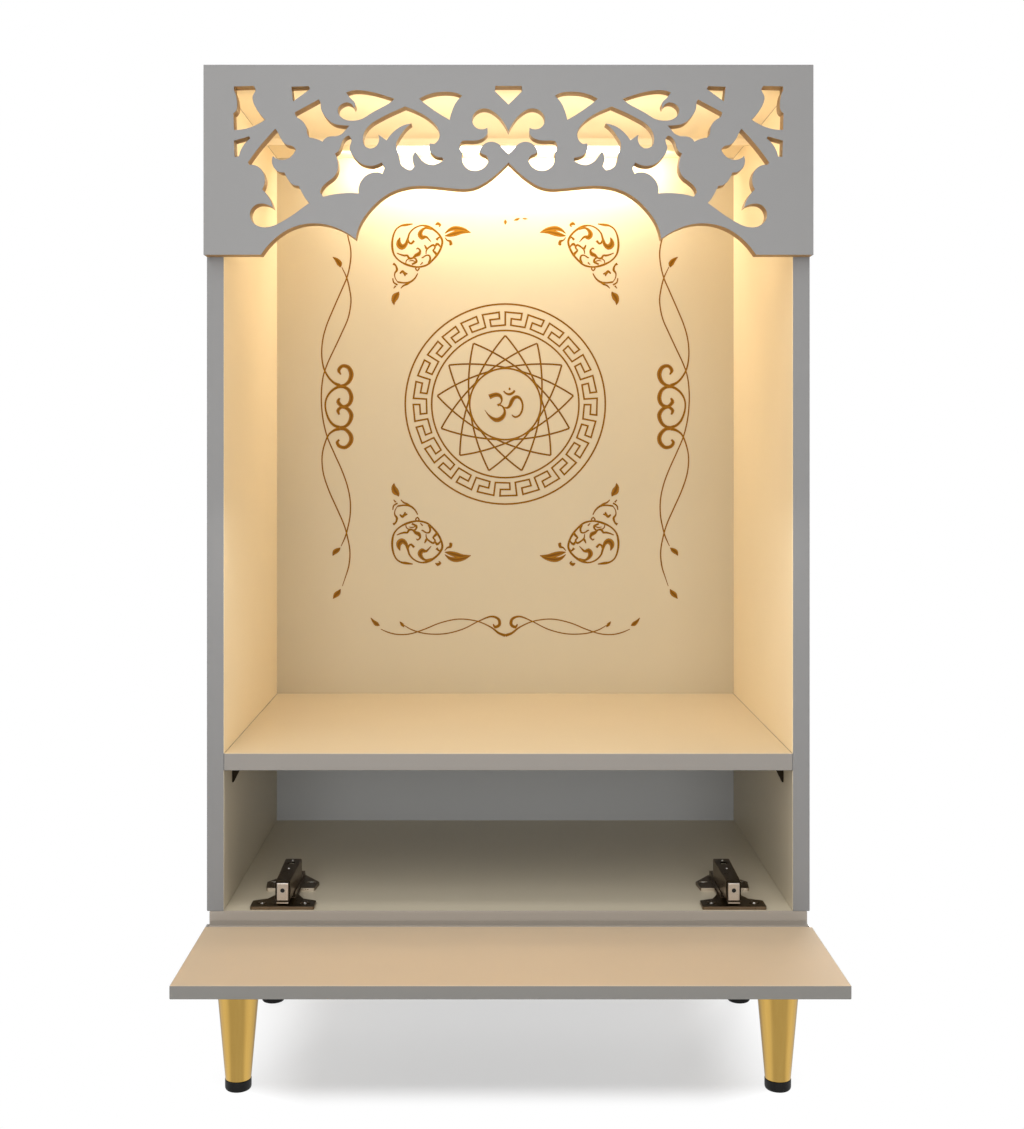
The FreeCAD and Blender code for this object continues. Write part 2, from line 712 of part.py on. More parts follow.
def fitting_pieces():
    """The hinge hardware and the shelf braces, by node name."""
    pieces = {}
    brace_rows = {"front": BRACE_FRONT_SETBACK, "rear": CABINET_DEPTH - BRACE_REAR_SETBACK}
    for hand, side in {"left": -1, "right": 1}.items():
        centre_x = side * (INNER_HALF_WIDTH - HINGE_INSET)
        pieces[f"hinge_plate_{hand}"] = hinge_plate(centre_x)
        pieces[f"hinge_arm_{hand}"] = hinge_arm(centre_x)
        pieces[f"hinge_front_block_{hand}"] = hinge_front_block(centre_x)
        pieces[f"flap_pivot_pin_{hand}"] = flap_pivot_pin(side)
        for row, setback in brace_rows.items():
            pieces[f"shelf_brace_{row}_{hand}"] = shelf_brace(side, setback)
    return pieces


def flap_pieces():
    """The flap and its two pivot plates, by node name."""
    return {
        "flap_panel": flap_panel(),
        "flap_pivot_plate_left": flap_pivot_plate(-1),
        "flap_pivot_plate_right": flap_pivot_plate(1),
    }


def main():
    """Build every piece and write one file for each."""
    os.makedirs("parts", exist_ok=True)
    pieces = {**cabinet_pieces(), **fitting_pieces(), **flap_pieces()}
    for name, shape in pieces.items():
        solids = shape.Solids
        if len(solids) != 1 or not shape.isValid():
            raise ValueError(f"{name}: {len(solids)} solids, valid {shape.isValid()}")
        solids[0].exportStep(f"parts/{name}.step")
    print(f"{len(pieces)} pieces, pivot at y {PIVOT_Y:.2f}, z {PIVOT_Z:.2f}, front plane y {FRONT:.2f}")


main()
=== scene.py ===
"""Dresses the household shrine cabinet: its boards, cut fascia, engraved back, light, hinges and legs.

Everything is in metres in the part's own frame: +Z up, the front towards -Y, the origin on the ground.
"""

import logging
import math
from dataclasses import dataclass, field, replace
from enum import Enum
from typing import Callable, Iterable, Sequence, Union

import bmesh
import bpy
from mathutils import Matrix, Vector


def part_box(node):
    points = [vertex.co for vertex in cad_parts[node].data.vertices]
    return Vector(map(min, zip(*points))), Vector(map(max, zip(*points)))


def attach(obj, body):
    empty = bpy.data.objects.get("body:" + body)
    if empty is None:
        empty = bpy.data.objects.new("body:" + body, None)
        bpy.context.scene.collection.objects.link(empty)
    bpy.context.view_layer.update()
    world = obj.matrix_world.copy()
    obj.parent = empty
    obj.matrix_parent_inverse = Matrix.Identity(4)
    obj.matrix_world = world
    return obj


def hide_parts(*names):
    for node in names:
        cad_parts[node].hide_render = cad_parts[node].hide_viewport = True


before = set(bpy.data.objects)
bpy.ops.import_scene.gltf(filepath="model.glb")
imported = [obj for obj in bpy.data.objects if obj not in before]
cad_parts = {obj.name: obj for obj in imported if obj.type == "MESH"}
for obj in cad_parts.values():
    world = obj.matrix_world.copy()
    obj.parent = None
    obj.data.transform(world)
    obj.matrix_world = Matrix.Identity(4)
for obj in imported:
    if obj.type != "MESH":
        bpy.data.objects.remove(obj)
LOG = logging.getLogger("shrine")
CABINET = "cabinet"
SIDES = ("left", "right")
ROWS = ("front", "rear")
MERGE_REACH = 0.000002
FLAT_TURN = 0.5
SHARP_TURN = 30.0
BEVEL_STEPS = 2
EVENNESS = 100
BOARD_GRAIN = 1600.0
BOARD_GRAIN_DEPTH = 0.00004
BOARD_SPREAD = 0.1
METAL_GRAIN_DEPTH = 0.00001
METAL_SPREAD = 0.16
SOFT_DETAIL = 3.0
PLAIN_WHITE = (255, 255, 255)
FAR = 2.0
EVERYWHERE = (-FAR, FAR)
UPWARDS = (0, 0, 1)
Colour = tuple[float, float, float]
Spot = tuple[float, float, float]
Point = tuple[float, float]
Number = Union[int, float]


def linear(colour: Colour) -> tuple[float, float, float, float]:
    """Turns a colour as a screen shows it into the renderer's own values.

    Args:
        colour: Red, green and blue from 0 to 255.

    Returns:
        Linear red, green, blue and an alpha of 1.
    """
    shares = [part / 255 for part in colour]
    light = [part / 12.92 if part <= 0.04045 else ((part + 0.055) / 1.055) ** 2.4 for part in shares]
    return (light[0], light[1], light[2], 1.0)


class Slot(Enum):
    """The record's material slots, named alongside some added pieces; nothing reads them."""

    GREY = "grey_laminate"
    GOLD = "gold_metal"
    BLACK = "black_foot"
    BRONZE = "bronzed_steel"
    PLATED = "plated_steel"


def maths(operation: str, swapped: bool = False) -> Callable[..., "Socket"]:
    """A method of Socket that adds one Math node.

    Args:
        operation: The node's operation.
        swapped: Whether the other value comes first.

    Returns:
        The method.
    """
    def method(self: "Socket", other: "Value" = 0.0) -> "Socket":
        """The node's result."""
        first, second = (other, self) if swapped else (self, other)
        return self.shader.add("ShaderNodeMath", {"operation": operation}, {0: first, 1: second})

    return method


class Socket:
    """A shader value that takes part in Python arithmetic."""

    def __init__(self, shader: "Shader", output: bpy.types.NodeSocket) -> None:
        """Wraps a node's output."""
        self.shader = shader
        self.output = output

    def also(self, name: str) -> "Socket":
        """Another output of the same node."""
        return Socket(self.shader, self.output.node.outputs[name])

    __add__ = maths("ADD")
    __radd__ = maths("ADD", swapped=True)
    __sub__ = maths("SUBTRACT")
    __rsub__ = maths("SUBTRACT", swapped=True)
    __mul__ = maths("MULTIPLY")
    __rmul__ = maths("MULTIPLY", swapped=True)
    __truediv__ = maths("DIVIDE")
    __gt__ = maths("GREATER_THAN")
    __lt__ = maths("LESS_THAN")
    power = maths("POWER")
    absolute = maths("ABSOLUTE")
    at_most = maths("MINIMUM")


Value = Union[Socket, Number, tuple]


class Shader:
    """A node material, or the world's nodes, while they are put together."""

    def __init__(self, name: str, world: bool = False) -> None:
        """Starts an empty node tree with its output node.

        Args:
            name: The material's name.
            world: Whether it is the world's.
        """
        self.material = bpy.data.worlds.new(name) if world else bpy.data.materials.new(name)
        self.material.use_nodes = True
        self.tree = self.material.node_tree
        self.tree.nodes.clear()
        kind = "World" if world else "Material"
        self.output = self.tree.nodes.new(f"ShaderNodeOutput{kind}")

    def add(self, kind: str, settings: dict, sockets: dict, output: Union[int, str] = 0) -> Socket:
        """Adds any node.

        Args:
            kind: The node's type name.
            settings: Its properties.
            sockets: Values or links for its inputs, by name or number.
            output: Which output is wanted.

        Returns:
            The wanted output.
        """
        node = self.tree.nodes.new(kind)
        for name, value in settings.items():
            setattr(node, name, value)
        for name, value in sockets.items():
            if isinstance(value, Socket):
                self.tree.links.new(value.output, node.inputs[name])
            else:
                node.inputs[name].default_value = value
        return Socket(self, node.outputs[output])

    def place(self) -> Socket:
        """The point on the piece, in the part's own frame."""
        return self.add("ShaderNodeTexCoord", {}, {}, "Object")

    def where(self, axis: str = "X") -> Socket:
        """One coordinate of the point on the piece; also() gives the others."""
        return self.add("ShaderNodeSeparateXYZ", {}, {0: self.place()}, axis)

    def facing(self) -> Socket:
        """How far the face looks along Y: -1 to the front, 1 to the back."""
        outwards = self.add("ShaderNodeTexCoord", {}, {}, "Normal")
        return self.add("ShaderNodeSeparateXYZ", {}, {0: outwards}, "Y")

    def noise(self, scale: float, detail: float = 2.0, stretch: Spot = (1, 1, 1)) -> Socket:
        """Smooth noise over the piece.

        Args:
            scale: Waves to a metre.
            detail: How many finer layers are added.
            stretch: The noise's scale along each axis.

        Returns:
            The noise's value.
        """
        turned = self.add("ShaderNodeMapping", {}, {"Vector": self.place(), "Scale": stretch})
        return self.add("ShaderNodeTexNoise", {}, {"Vector": turned, "Scale": scale, "Detail": detail})

    def mix(self, factor: Value, first: Value, second: Value, blend: str = "MIX") -> Socket:
        """A colour between two colours, or their product."""
        settings = {"data_type": "RGBA", "blend_type": blend}
        return self.add("ShaderNodeMix", settings, {0: factor, 6: first, 7: second}, 2)

    def skin(
        self, colour: Value, grain: Socket, roughness: Number, spread: Number, depth: Number = 0.0,
        others: Union[dict, None] = None,
    ) -> Socket:
        """The main surface shader.

        Args:
            colour: Its colour.
            grain: A noise that varies its roughness and its height.
            roughness: Its middle roughness.
            spread: How much the grain varies the roughness.
            depth: How high the grain stands, in metres.
            others: Values for its other inputs.

        Returns:
            The surface.
        """
        sockets = {"Base Color": colour, "Roughness": roughness + spread * (grain - 0.5)}
        if depth:
            sockets["Normal"] = self.add("ShaderNodeBump", {}, {"Height": grain, "Distance": depth})
        return self.add("ShaderNodeBsdfPrincipled", {}, {**sockets, **(others or {})})

    def span(self, value: Value, source: Point, target: Point = (0.0, 1.0)) -> Socket:
        """A value that goes smoothly across the target while another goes across the source.

        Args:
            value: The other value.
            source: Where that one starts and ends.
            target: Where the made value starts and ends.

        Returns:
            The made value.
        """
        ends = {"From Min": source[0], "From Max": source[1], "To Min": target[0], "To Max": target[1]}
        settings = {"interpolation_type": "SMOOTHSTEP"}
        return self.add("ShaderNodeMapRange", settings, {"Value": value, **ends})

    def finish(self, surface: Socket) -> bpy.types.Material:
        """Joins the surface to the output and gives the material."""
        self.tree.links.new(surface.output, self.output.inputs["Surface"])
        return self.material


@dataclass(frozen=True)
class Area:
    """A box of space in which a board's face has its own colour, in metres."""

    colour: Colour
    x: Point = EVERYWHERE
    y: Point = EVERYWHERE
    z: Point = EVERYWHERE

    def mask(self, shader: Shader) -> Socket:
        """1 inside the box and 0 outside it.

        Args:
            shader: The material's shader.

        Returns:
            The mask.
        """
        place = shader.where()
        inside: Value = 1.0
        for axis, (low, high) in zip("XYZ", (self.x, self.y, self.z)):
            along = place.also(axis)
            inside = (along > low) * (along < high) * inside
        return inside


@dataclass(frozen=True)
class Finish:
    """A finish with its name and its main colour."""

    name: str
    colour: Colour

    def material(self) -> bpy.types.Material:
        """Builds the material."""
        shader = Shader(self.name)
        return shader.finish(self.shade(shader))

    def shade(self, shader: Shader) -> Socket:
        """The surface, which each finish makes in its own way."""
        raise NotImplementedError(self.name)


@dataclass(frozen=True)
class Laminate(Finish):
    """A board's laminate with a fine matt grain, and other colours on parts of its faces."""

    areas: tuple[Area, ...] = ()
    roughness: float = 0.46
    specular: float = 0.4
    mottle: float = 0.05
    cloud: float = 9.0

    def shade(self, shader: Shader) -> Socket:
        """Mottled laminate.

        Args:
            shader: The material's shader.

        Returns:
            The surface.
        """
        colour: Value = linear(self.colour)
        for area in self.areas:
            colour = shader.mix(area.mask(shader), colour, linear(area.colour))
        mottled = shader.mix(self.mottle, linear(PLAIN_WHITE), shader.noise(self.cloud, SOFT_DETAIL))
        colour = shader.mix(1.0, colour, mottled, "MULTIPLY")
        return shader.skin(
            colour, shader.noise(BOARD_GRAIN), self.roughness, BOARD_SPREAD, BOARD_GRAIN_DEPTH,
            {"Specular IOR Level": self.specular},
        )


@dataclass(frozen=True)
class CutBoard(Finish):
    """A laminated board whose cut-outs show the raw fibreboard inside it."""

    core: Colour
    core_shade: Colour
    reach: float
    top: float
    skin: float = 0.0007
    turned_aside: float = 0.4
    fibre: float = 900.0
    fibre_detail: float = 4.0
    fibre_stretch: Spot = (1, 0.35, 1)
    roughness: float = 0.46

    def shade(self, shader: Shader) -> Socket:
        """Laminate on the faces and fibre in the cuts.

        Args:
            shader: The material's shader.

        Returns:
            The surface.
        """
        place = shader.where()
        inside = (place.absolute() < self.reach - self.skin) * (place.also("Z") < self.top - self.skin)
        cut = (shader.facing().absolute() < self.turned_aside) * inside
        fibre = shader.noise(self.fibre, self.fibre_detail, self.fibre_stretch)
        core = shader.mix(fibre, linear(self.core_shade), linear(self.core))
        colour = shader.mix(cut, linear(self.colour), core)
        grain = shader.noise(BOARD_GRAIN)
        return shader.skin(colour, grain, self.roughness, BOARD_SPREAD, BOARD_GRAIN_DEPTH)


@dataclass(frozen=True)
class Metal(Finish):
    """Plated or brass-coloured sheet metal with a faint drawn grain."""

    dark: Colour
    roughness: float = 0.3
    grain_stretch: Spot = (1, 1, 1)
    grain_scale: float = 400.0

    def shade(self, shader: Shader) -> Socket:
        """Metal, darker in its grain.

        Args:
            shader: The material's shader.

        Returns:
            The surface.
        """
        grain = shader.noise(self.grain_scale, SOFT_DETAIL, self.grain_stretch)
        plain = shader.mix(grain, linear(self.dark), linear(self.colour))
        colour = self.tint(shader, plain)
        metal = {"Metallic": 1.0}
        return shader.skin(colour, grain, self.roughness, METAL_SPREAD, METAL_GRAIN_DEPTH, metal)

    def tint(self, shader: Shader, plain: Socket) -> Socket:
        """The colour, here the same on every face."""
        return plain


@dataclass(frozen=True)
class Bronzed(Metal):
    """Bronzed sheet steel, with painted shade on the front faces of its higher parts and painted highlights
    on its low front edges, brightest on the rear ones.
    """

    # The first colour is painted shade on the forward faces above edge_top; the next two are painted
    # highlights on the forward faces below it, the second behind rear_start.
    end: Colour = (40, 34, 25)
    edge_highlight: Colour = (112, 97, 79)
    bright: Colour = (198, 186, 168)
    edge_top: float = 0.0
    rear_start: float = 0.0
    turned_forward: float = -0.6

    def tint(self, shader: Shader, plain: Socket) -> Socket:
        """The colour, with painted shade and painted highlights on the faces that look forward.

        Args:
            shader: The material's shader.
            plain: The colour of the other faces.

        Returns:
            The colour.
        """
        place = shader.where("Y")
        # Painted highlight on the low front edges, brighter behind rear_start.
        edge_highlight = shader.mix(place > self.rear_start, linear(self.edge_highlight), linear(self.bright))
        # Painted shade on the forward faces above edge_top.
        front = shader.mix(place.also("Z") < self.edge_top, linear(self.end), edge_highlight)
        return shader.mix(shader.facing() < self.turned_forward, plain, front)


@dataclass(frozen=True)
class Rubber(Finish):
    """Moulded black rubber."""

    roughness: float = 0.5
    spread: float = 0.2
    specular: float = 0.25
    grain_scale: float = 900.0
    grain_depth: float = 0.00005

    def shade(self, shader: Shader) -> Socket:
        """Grained rubber.

        Args:
            shader: The material's shader.

        Returns:
            The surface.
        """
        grain = shader.noise(self.grain_scale)
        colour = linear(self.colour)
        dull = {"Specular IOR Level": self.specular}
        return shader.skin(colour, grain, self.roughness, self.spread, self.grain_depth, dull)


@dataclass(frozen=True)
class Opal(Finish):
    """The lit opal cover of the lamp."""

    glow: Colour
    strength: float
    roughness: float = 0.4
    spread: float = 0.1
    cloud: float = 30.0

    def shade(self, shader: Shader) -> Socket:
        """A glowing cover.

        Args:
            shader: The material's shader.

        Returns:
            The surface.
        """
        cloud = shader.noise(self.cloud)
        lit = {"Emission Color": linear(self.glow), "Emission Strength": self.strength}
        return shader.skin(linear(self.colour), cloud, self.roughness, self.spread, others=lit)


@dataclass(frozen=True)
class Engraved(Finish):
    """Brown-gold of an engraved line, its own colour at its lips, with painted shade darkening it where its
    strip lies low.
    """

    # The dark colour is painted shade.
    groove_shade: Colour
    face: float
    rise: float
    # How much and where painted shade darkens the lines towards the top, near the lamp.
    top_shade: float = 0.2
    top_shade_span: Point = (0.68, 0.9)
    metallic: float = 0.1
    roughness: float = 0.5
    spread: float = 0.2
    specular: float = 0.1
    grain_scale: float = 700.0

    def shade(self, shader: Shader) -> Socket:
        """The line's colour by its height, with painted shade that darkens it more near the top.

        Args:
            shader: The material's shader.

        Returns:
            The surface.
        """
        place = shader.where("Y")
        height = (self.face - place) * (1 / self.rise)
        groove_shade = linear(self.groove_shade)
        # Painted shade near the top, by the lamp.
        near = shader.span(place.also("Z"), self.top_shade_span, (0.0, self.top_shade))
        # Painted shade where the strip lies low, the line's own colour at its lips.
        colour = shader.mix(near, shader.mix(height.power(2), groove_shade, linear(self.colour)), groove_shade)
        grain = shader.noise(self.grain_scale)
        dull = {"Metallic": self.metallic, "Specular IOR Level": self.specular}
        return shader.skin(colour, grain, self.roughness, self.spread, others=dull)


@dataclass(frozen=True)
class Lamp:
    """One wide soft lamp: its size, its place, the point it faces and its power in watts."""

    name: str
    size: Point
    place: Spot
    target: Spot
    power: float
    colour: Colour = PLAIN_WHITE

    def hang(self) -> None:
        """Adds the lamp to the scene."""
        lamp = bpy.data.lights.new(self.name, "AREA")
        lamp.shape = "RECTANGLE"
        lamp.size, lamp.size_y = self.size
        lamp.energy = self.power
        lamp.color = linear(self.colour)[:3]
        held = bpy.data.objects.new(self.name, lamp)
        held.location = self.place
        aim = Vector(self.target) - held.location
        held.rotation_euler = aim.to_track_quat("-Z", "Y").to_euler()
        held.visible_camera = False
        bpy.context.scene.collection.objects.link(held)


STUDIO_LAMPS = (
    Lamp("front", (2.2, 1.8), (-0.05, -3.3, 0.9), (0, 0, 0.55), 51.0),
    Lamp("top", (2.4, 2.0), (-0.6, -1.9, 2.3), (0, 0, 0.2), 28.0),
    Lamp("flap", (0.5, 0.04), (0, -0.15, 0.6), (0, -0.15, 0), 0.3),
    Lamp("rear", (2.4, 1.8), (0.9, 3.4, 1.9), (0, 0.2, 0.5), 58.0),
)


@dataclass(frozen=True)
class Studio:
    """The plain pale floor, the soft light and the camera."""

    floor_reach: float = 5.0
    floor_white: float = 0.97
    floor_roughness: float = 0.9
    floor_glow: float = 0.37
    fade_aside: Point = (0.19, 0.31)
    fade_ahead: Point = (-0.055, -0.115)
    world_strength: float = 0.44
    before_span: Point = (-0.2, 0.5)
    dimming: Point = (0.66, 0.5)
    side_span: Point = (0.6, 0.97)
    side_gain: float = 0.36
    niche_size: Point = (0.4, 0.03)
    niche_power: float = 1.0
    niche_gap: float = 0.05
    niche_drop: float = 0.004
    niche_aim_drop: float = 0.04
    valance_size: Point = (0.5, 0.05)
    valance_power: float = 0.5
    valance_gap: float = 0.02
    valance_drop: float = 0.075
    lens: float = 46.46
    sensor: float = 36.0
    camera_setback: float = 1.450
    camera_x: float = -0.0152
    camera_z: float = 0.646
    shift_x: float = 0.0168
    shift_y: float = -0.1014

    def build(self, front: float) -> None:
        """Makes the floor, the lights and the camera.

        Args:
            front: The Y of the side boards' front edges.
        """
        self.world()
        self.floor()
        for lamp in STUDIO_LAMPS + self.niche_lamps():
            lamp.hang()
        self.camera(front)
        bpy.context.scene.view_settings.view_transform = "Standard"

    def mirrored(self, shader: Shader, across: Socket, along: Socket) -> Socket:
        """How bright the studio looks in polished metal: brightest at both sides, dimmest behind.

        Args:
            shader: The shader of what is seen.
            across: How far it is to the right or left of the metal.
            along: How far it is behind the metal.

        Returns:
            The brightness.
        """
        reach = (across * across + along * along).power(0.5)
        before = shader.span(along / reach, self.before_span, self.dimming)
        return before + shader.span(across.absolute() / reach, self.side_span, (0.0, self.side_gain))

    def world(self) -> None:
        """A world that looks white and lights softly."""
        shader = Shader("studio", world=True)
        heading = shader.add("ShaderNodeTexCoord", {}, {}, "Generated")
        across = shader.add("ShaderNodeSeparateXYZ", {}, {0: heading})
        path = shader.add("ShaderNodeLightPath", {}, {}, "Is Camera Ray")
        seen = path.also("Is Glossy Ray")
        strength = path + seen * self.mirrored(shader, across, across.also("Y"))
        strength = strength + (1.0 - (path + seen).at_most(1.0)) * self.world_strength
        light = shader.add("ShaderNodeBackground", {}, {"Color": (1, 1, 1, 1), "Strength": strength})
        bpy.context.scene.world = shader.finish(light)

    def floor(self) -> None:
        """A white floor that takes the object's shadow and fades to plain white."""
        made = bmesh.new()
        bmesh.ops.create_grid(made, x_segments=1, y_segments=1, size=self.floor_reach)
        mesh = bpy.data.meshes.new("floor")
        made.to_mesh(mesh)
        made.free()
        floor = bpy.data.objects.new("floor", mesh)
        bpy.context.scene.collection.objects.link(floor)
        shader = Shader("studio_floor")
        white = (self.floor_white, self.floor_white, self.floor_white, 1)
        plain = {"Base Color": white, "Roughness": self.floor_roughness}
        lit = shader.add("ShaderNodeBsdfPrincipled", {}, plain)
        path = shader.add("ShaderNodeLightPath", {}, {}, "Is Camera Ray")
        seen = path.also("Is Glossy Ray")
        place = shader.where()
        low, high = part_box("leg_front_right")
        leg = (low + high) / 2
        from_leg = self.mirrored(shader, place.absolute() - leg.x, place.also("Y") - leg.y)
        glow = shader.add("ShaderNodeEmission", {}, {"Color": path + seen * from_leg})
        aside = shader.span(place.absolute(), self.fade_aside)
        ahead = shader.span(place.also("Y"), self.fade_ahead)
        far = self.floor_glow + (1.0 - self.floor_glow) * (aside + ahead).at_most(1.0)
        share = (far * path + seen).at_most(1.0)
        mixed = shader.add("ShaderNodeMixShader", {}, {0: share, 1: lit, 2: glow})
        mesh.materials.append(shader.finish(mixed))

    def niche_lamps(self) -> tuple[Lamp, Lamp]:
        """The spread of the cabinet's own light: down the back panel, and behind the fascia.

        Returns:
            The two lamps.
        """
        low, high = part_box("light_diffuser")
        middle = (low + high) / 2
        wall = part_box("altar_back_panel")[0].y
        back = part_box("fretwork_fascia")[1].y
        niche = Lamp(
            "niche", self.niche_size, (middle.x, wall - self.niche_gap, low.z - self.niche_drop),
            (middle.x, wall, low.z - self.niche_aim_drop), self.niche_power, LAMP_LIGHT,
        )
        valance = Lamp(
            "valance", self.valance_size, (middle.x, back + self.valance_gap, low.z - self.valance_drop),
            (middle.x, middle.y, high.z + self.valance_gap), self.valance_power, LAMP_LIGHT,
        )
        return (niche, valance)

    def camera(self, front: float) -> None:
        """The camera at the photograph's place, looking straight along +Y.

        Args:
            front: The Y of the side boards' front edges.
        """
        data = bpy.data.cameras.new("camera")
        data.lens = self.lens
        data.sensor_width = self.sensor
        data.shift_x = self.shift_x
        data.shift_y = self.shift_y
        camera = bpy.data.objects.new("camera", data)
        camera.location = (self.camera_x, front - self.camera_setback, self.camera_z)
        camera.rotation_euler = (math.pi / 2, 0, 0)
        bpy.context.scene.collection.objects.link(camera)
        bpy.context.scene.camera = camera


def dress(node: str, material: bpy.types.Material) -> None:
    """Gives a node of the frame its material.

    Args:
        node: The node's name.
        material: The material.
    """
    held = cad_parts[node]
    held.data.materials.clear()
    held.data.materials.append(material)
    LOG.info("dressed %s", node)


GREY = (123, 122, 121)
BEIGE = (182, 167, 137)
FLAP_BEIGE = (215, 192, 162)
CREAM = (244, 226, 190)
SHELF_CREAM = (208, 191, 160)
WARM_GREY = (212, 201, 177)
STORE_BACK = (166, 167, 167)
BASE_NOSE = (152, 143, 132)
BASE_EDGE = (171, 161, 149)
SHELF_EDGE = (133, 128, 122)
FLAP_EDGE = (122, 120, 116)
CORE = (178, 138, 84)
CORE_SHADE = (140, 100, 54)
LAMP_LIGHT = (255, 244, 226)


@dataclass
class Carcass:
    """The boards of the cabinet."""

    skin: float = 0.0003
    cut_ease: float = 0.0003
    nose_gap: float = 0.0012

    def build(self) -> None:
        """Dresses every board."""
        self.sides()
        for node, finish in self.boards().items():
            dress(node, finish.material())
        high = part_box("fretwork_fascia")[1]
        cut = CutBoard("fascia", GREY, CORE, CORE_SHADE, high.x, high.z).material()
        refine("fretwork_fascia", self.cut_ease, cut)

    def sides(self) -> None:
        """Dresses the side boards, paler inside the niche and the compartment."""
        low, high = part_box("altar_shelf")
        inside = (-high.x - self.skin, high.x + self.skin)
        upper = Area(CREAM, x=inside, z=(high.z, FAR))
        lower = Area(WARM_GREY, x=inside, z=(-FAR, low.z))
        finish = Laminate("side_boards", GREY, (upper, lower)).material()
        for side in SIDES:
            dress(f"{side}_side_panel", finish)

    def boards(self) -> dict[str, Laminate]:
        """The finish of every other plain board.

        Returns:
            The finishes by node.
        """
        shelf_low, shelf_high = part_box("altar_shelf")
        base_low, base_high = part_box("base_board")
        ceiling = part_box("top_panel")[0].z
        under_top = Area(CREAM, x=(-shelf_high.x, shelf_high.x), z=(-FAR, ceiling + self.skin))
        shelf_front = Area(SHELF_EDGE, y=(-FAR, shelf_low.y + self.skin))
        on_shelf = Area(SHELF_CREAM, z=(shelf_high.z - self.skin, FAR))
        back_face = (-FAR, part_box("altar_back_panel")[0].y + self.skin)
        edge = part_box("left_side_panel")[0].y + self.nose_gap
        on_base = Area(WARM_GREY, y=(edge, FAR), z=(base_high.z - self.skin, FAR))
        nose = Area(BASE_NOSE, y=(-FAR, edge))
        base_front = Area(BASE_EDGE, y=(-FAR, base_low.y + self.skin))
        on_flap = Area(FLAP_BEIGE, z=(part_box("flap_panel")[1].z - self.skin, FAR))
        return {
            "top_panel": Laminate("top_board", GREY, (under_top,)),
            "altar_shelf": Laminate("shelf_board", GREY, (shelf_front, on_shelf)),
            "altar_back_panel": Laminate("altar_back", GREY, (Area(BEIGE, y=back_face),)),
            "store_back_panel": Laminate("store_back", GREY, (Area(STORE_BACK, y=back_face),)),
            "base_board": Laminate("base", GREY, (on_base, nose, base_front)),
            "light_rail": Laminate("rail", CREAM),
            "flap_panel": Laminate("flap", FLAP_EDGE, (on_flap,), roughness=0.6, specular=0.12),
        }


@dataclass(frozen=True)
class Stroke:
    """One engraved line: points across and down the drawing, each with the line's width there.

    Its level is the share of the relief's rise that its lips stand out.
    """

    points: tuple[Spot, ...]
    smooth: bool = True
    closed: bool = False
    level: float = 1.0

    def mirrored(self, across: float) -> "Stroke":
        """The same line mirrored about an upright axis of the drawing."""
        return replace(self, points=tuple((2 * across - x, y, width) for x, y, width in self.points))

    def flipped(self, down: float) -> "Stroke":
        """The same line mirrored about a level axis of the drawing."""
        return replace(self, points=tuple((x, 2 * down - y, width) for x, y, width in self.points))

    def path(self, step: float) -> list[Vector]:
        """The line's points, close together, with its width as each point's third number.

        Args:
            step: The distance between points along a smooth line, in drawing units.

        Returns:
            The points in order.
        """
        corners = [Vector(point) for point in self.points]
        if not self.smooth or len(corners) < 3:
            return corners
        before = [corners[-1]] if self.closed else [2 * corners[0] - corners[1]]
        after = corners[:2] if self.closed else [2 * corners[-1] - corners[-2]]
        run = before + corners + after
        made: list[Vector] = []
        for first, second, third, fourth in zip(run, run[1:], run[2:], run[3:]):
            count = max(2, round((third - second).xy.length / step))
            for index in range(count):
                share = index / count
                made.append(self.between(first, second, third, fourth, share))
        if not self.closed:
            made.append(corners[-1])
        return made

    @staticmethod
    def between(first: Vector, second: Vector, third: Vector, fourth: Vector, share: float) -> Vector:
        """A point of the smooth curve from the second point to the third.

        Args:
            first: The point before the curve.
            second: Its start.
            third: Its end.
            fourth: The point after it.
            share: How far along it the point is, from 0 to 1.

        Returns:
            The point.
        """
        square = share * share
        cube = square * share
        near = 2 * second + (third - first) * share
        bend = (2 * first - 5 * second + 4 * third - fourth) * square
        turn = (3 * second - first - 3 * third + fourth) * cube
        return (near + bend + turn) / 2


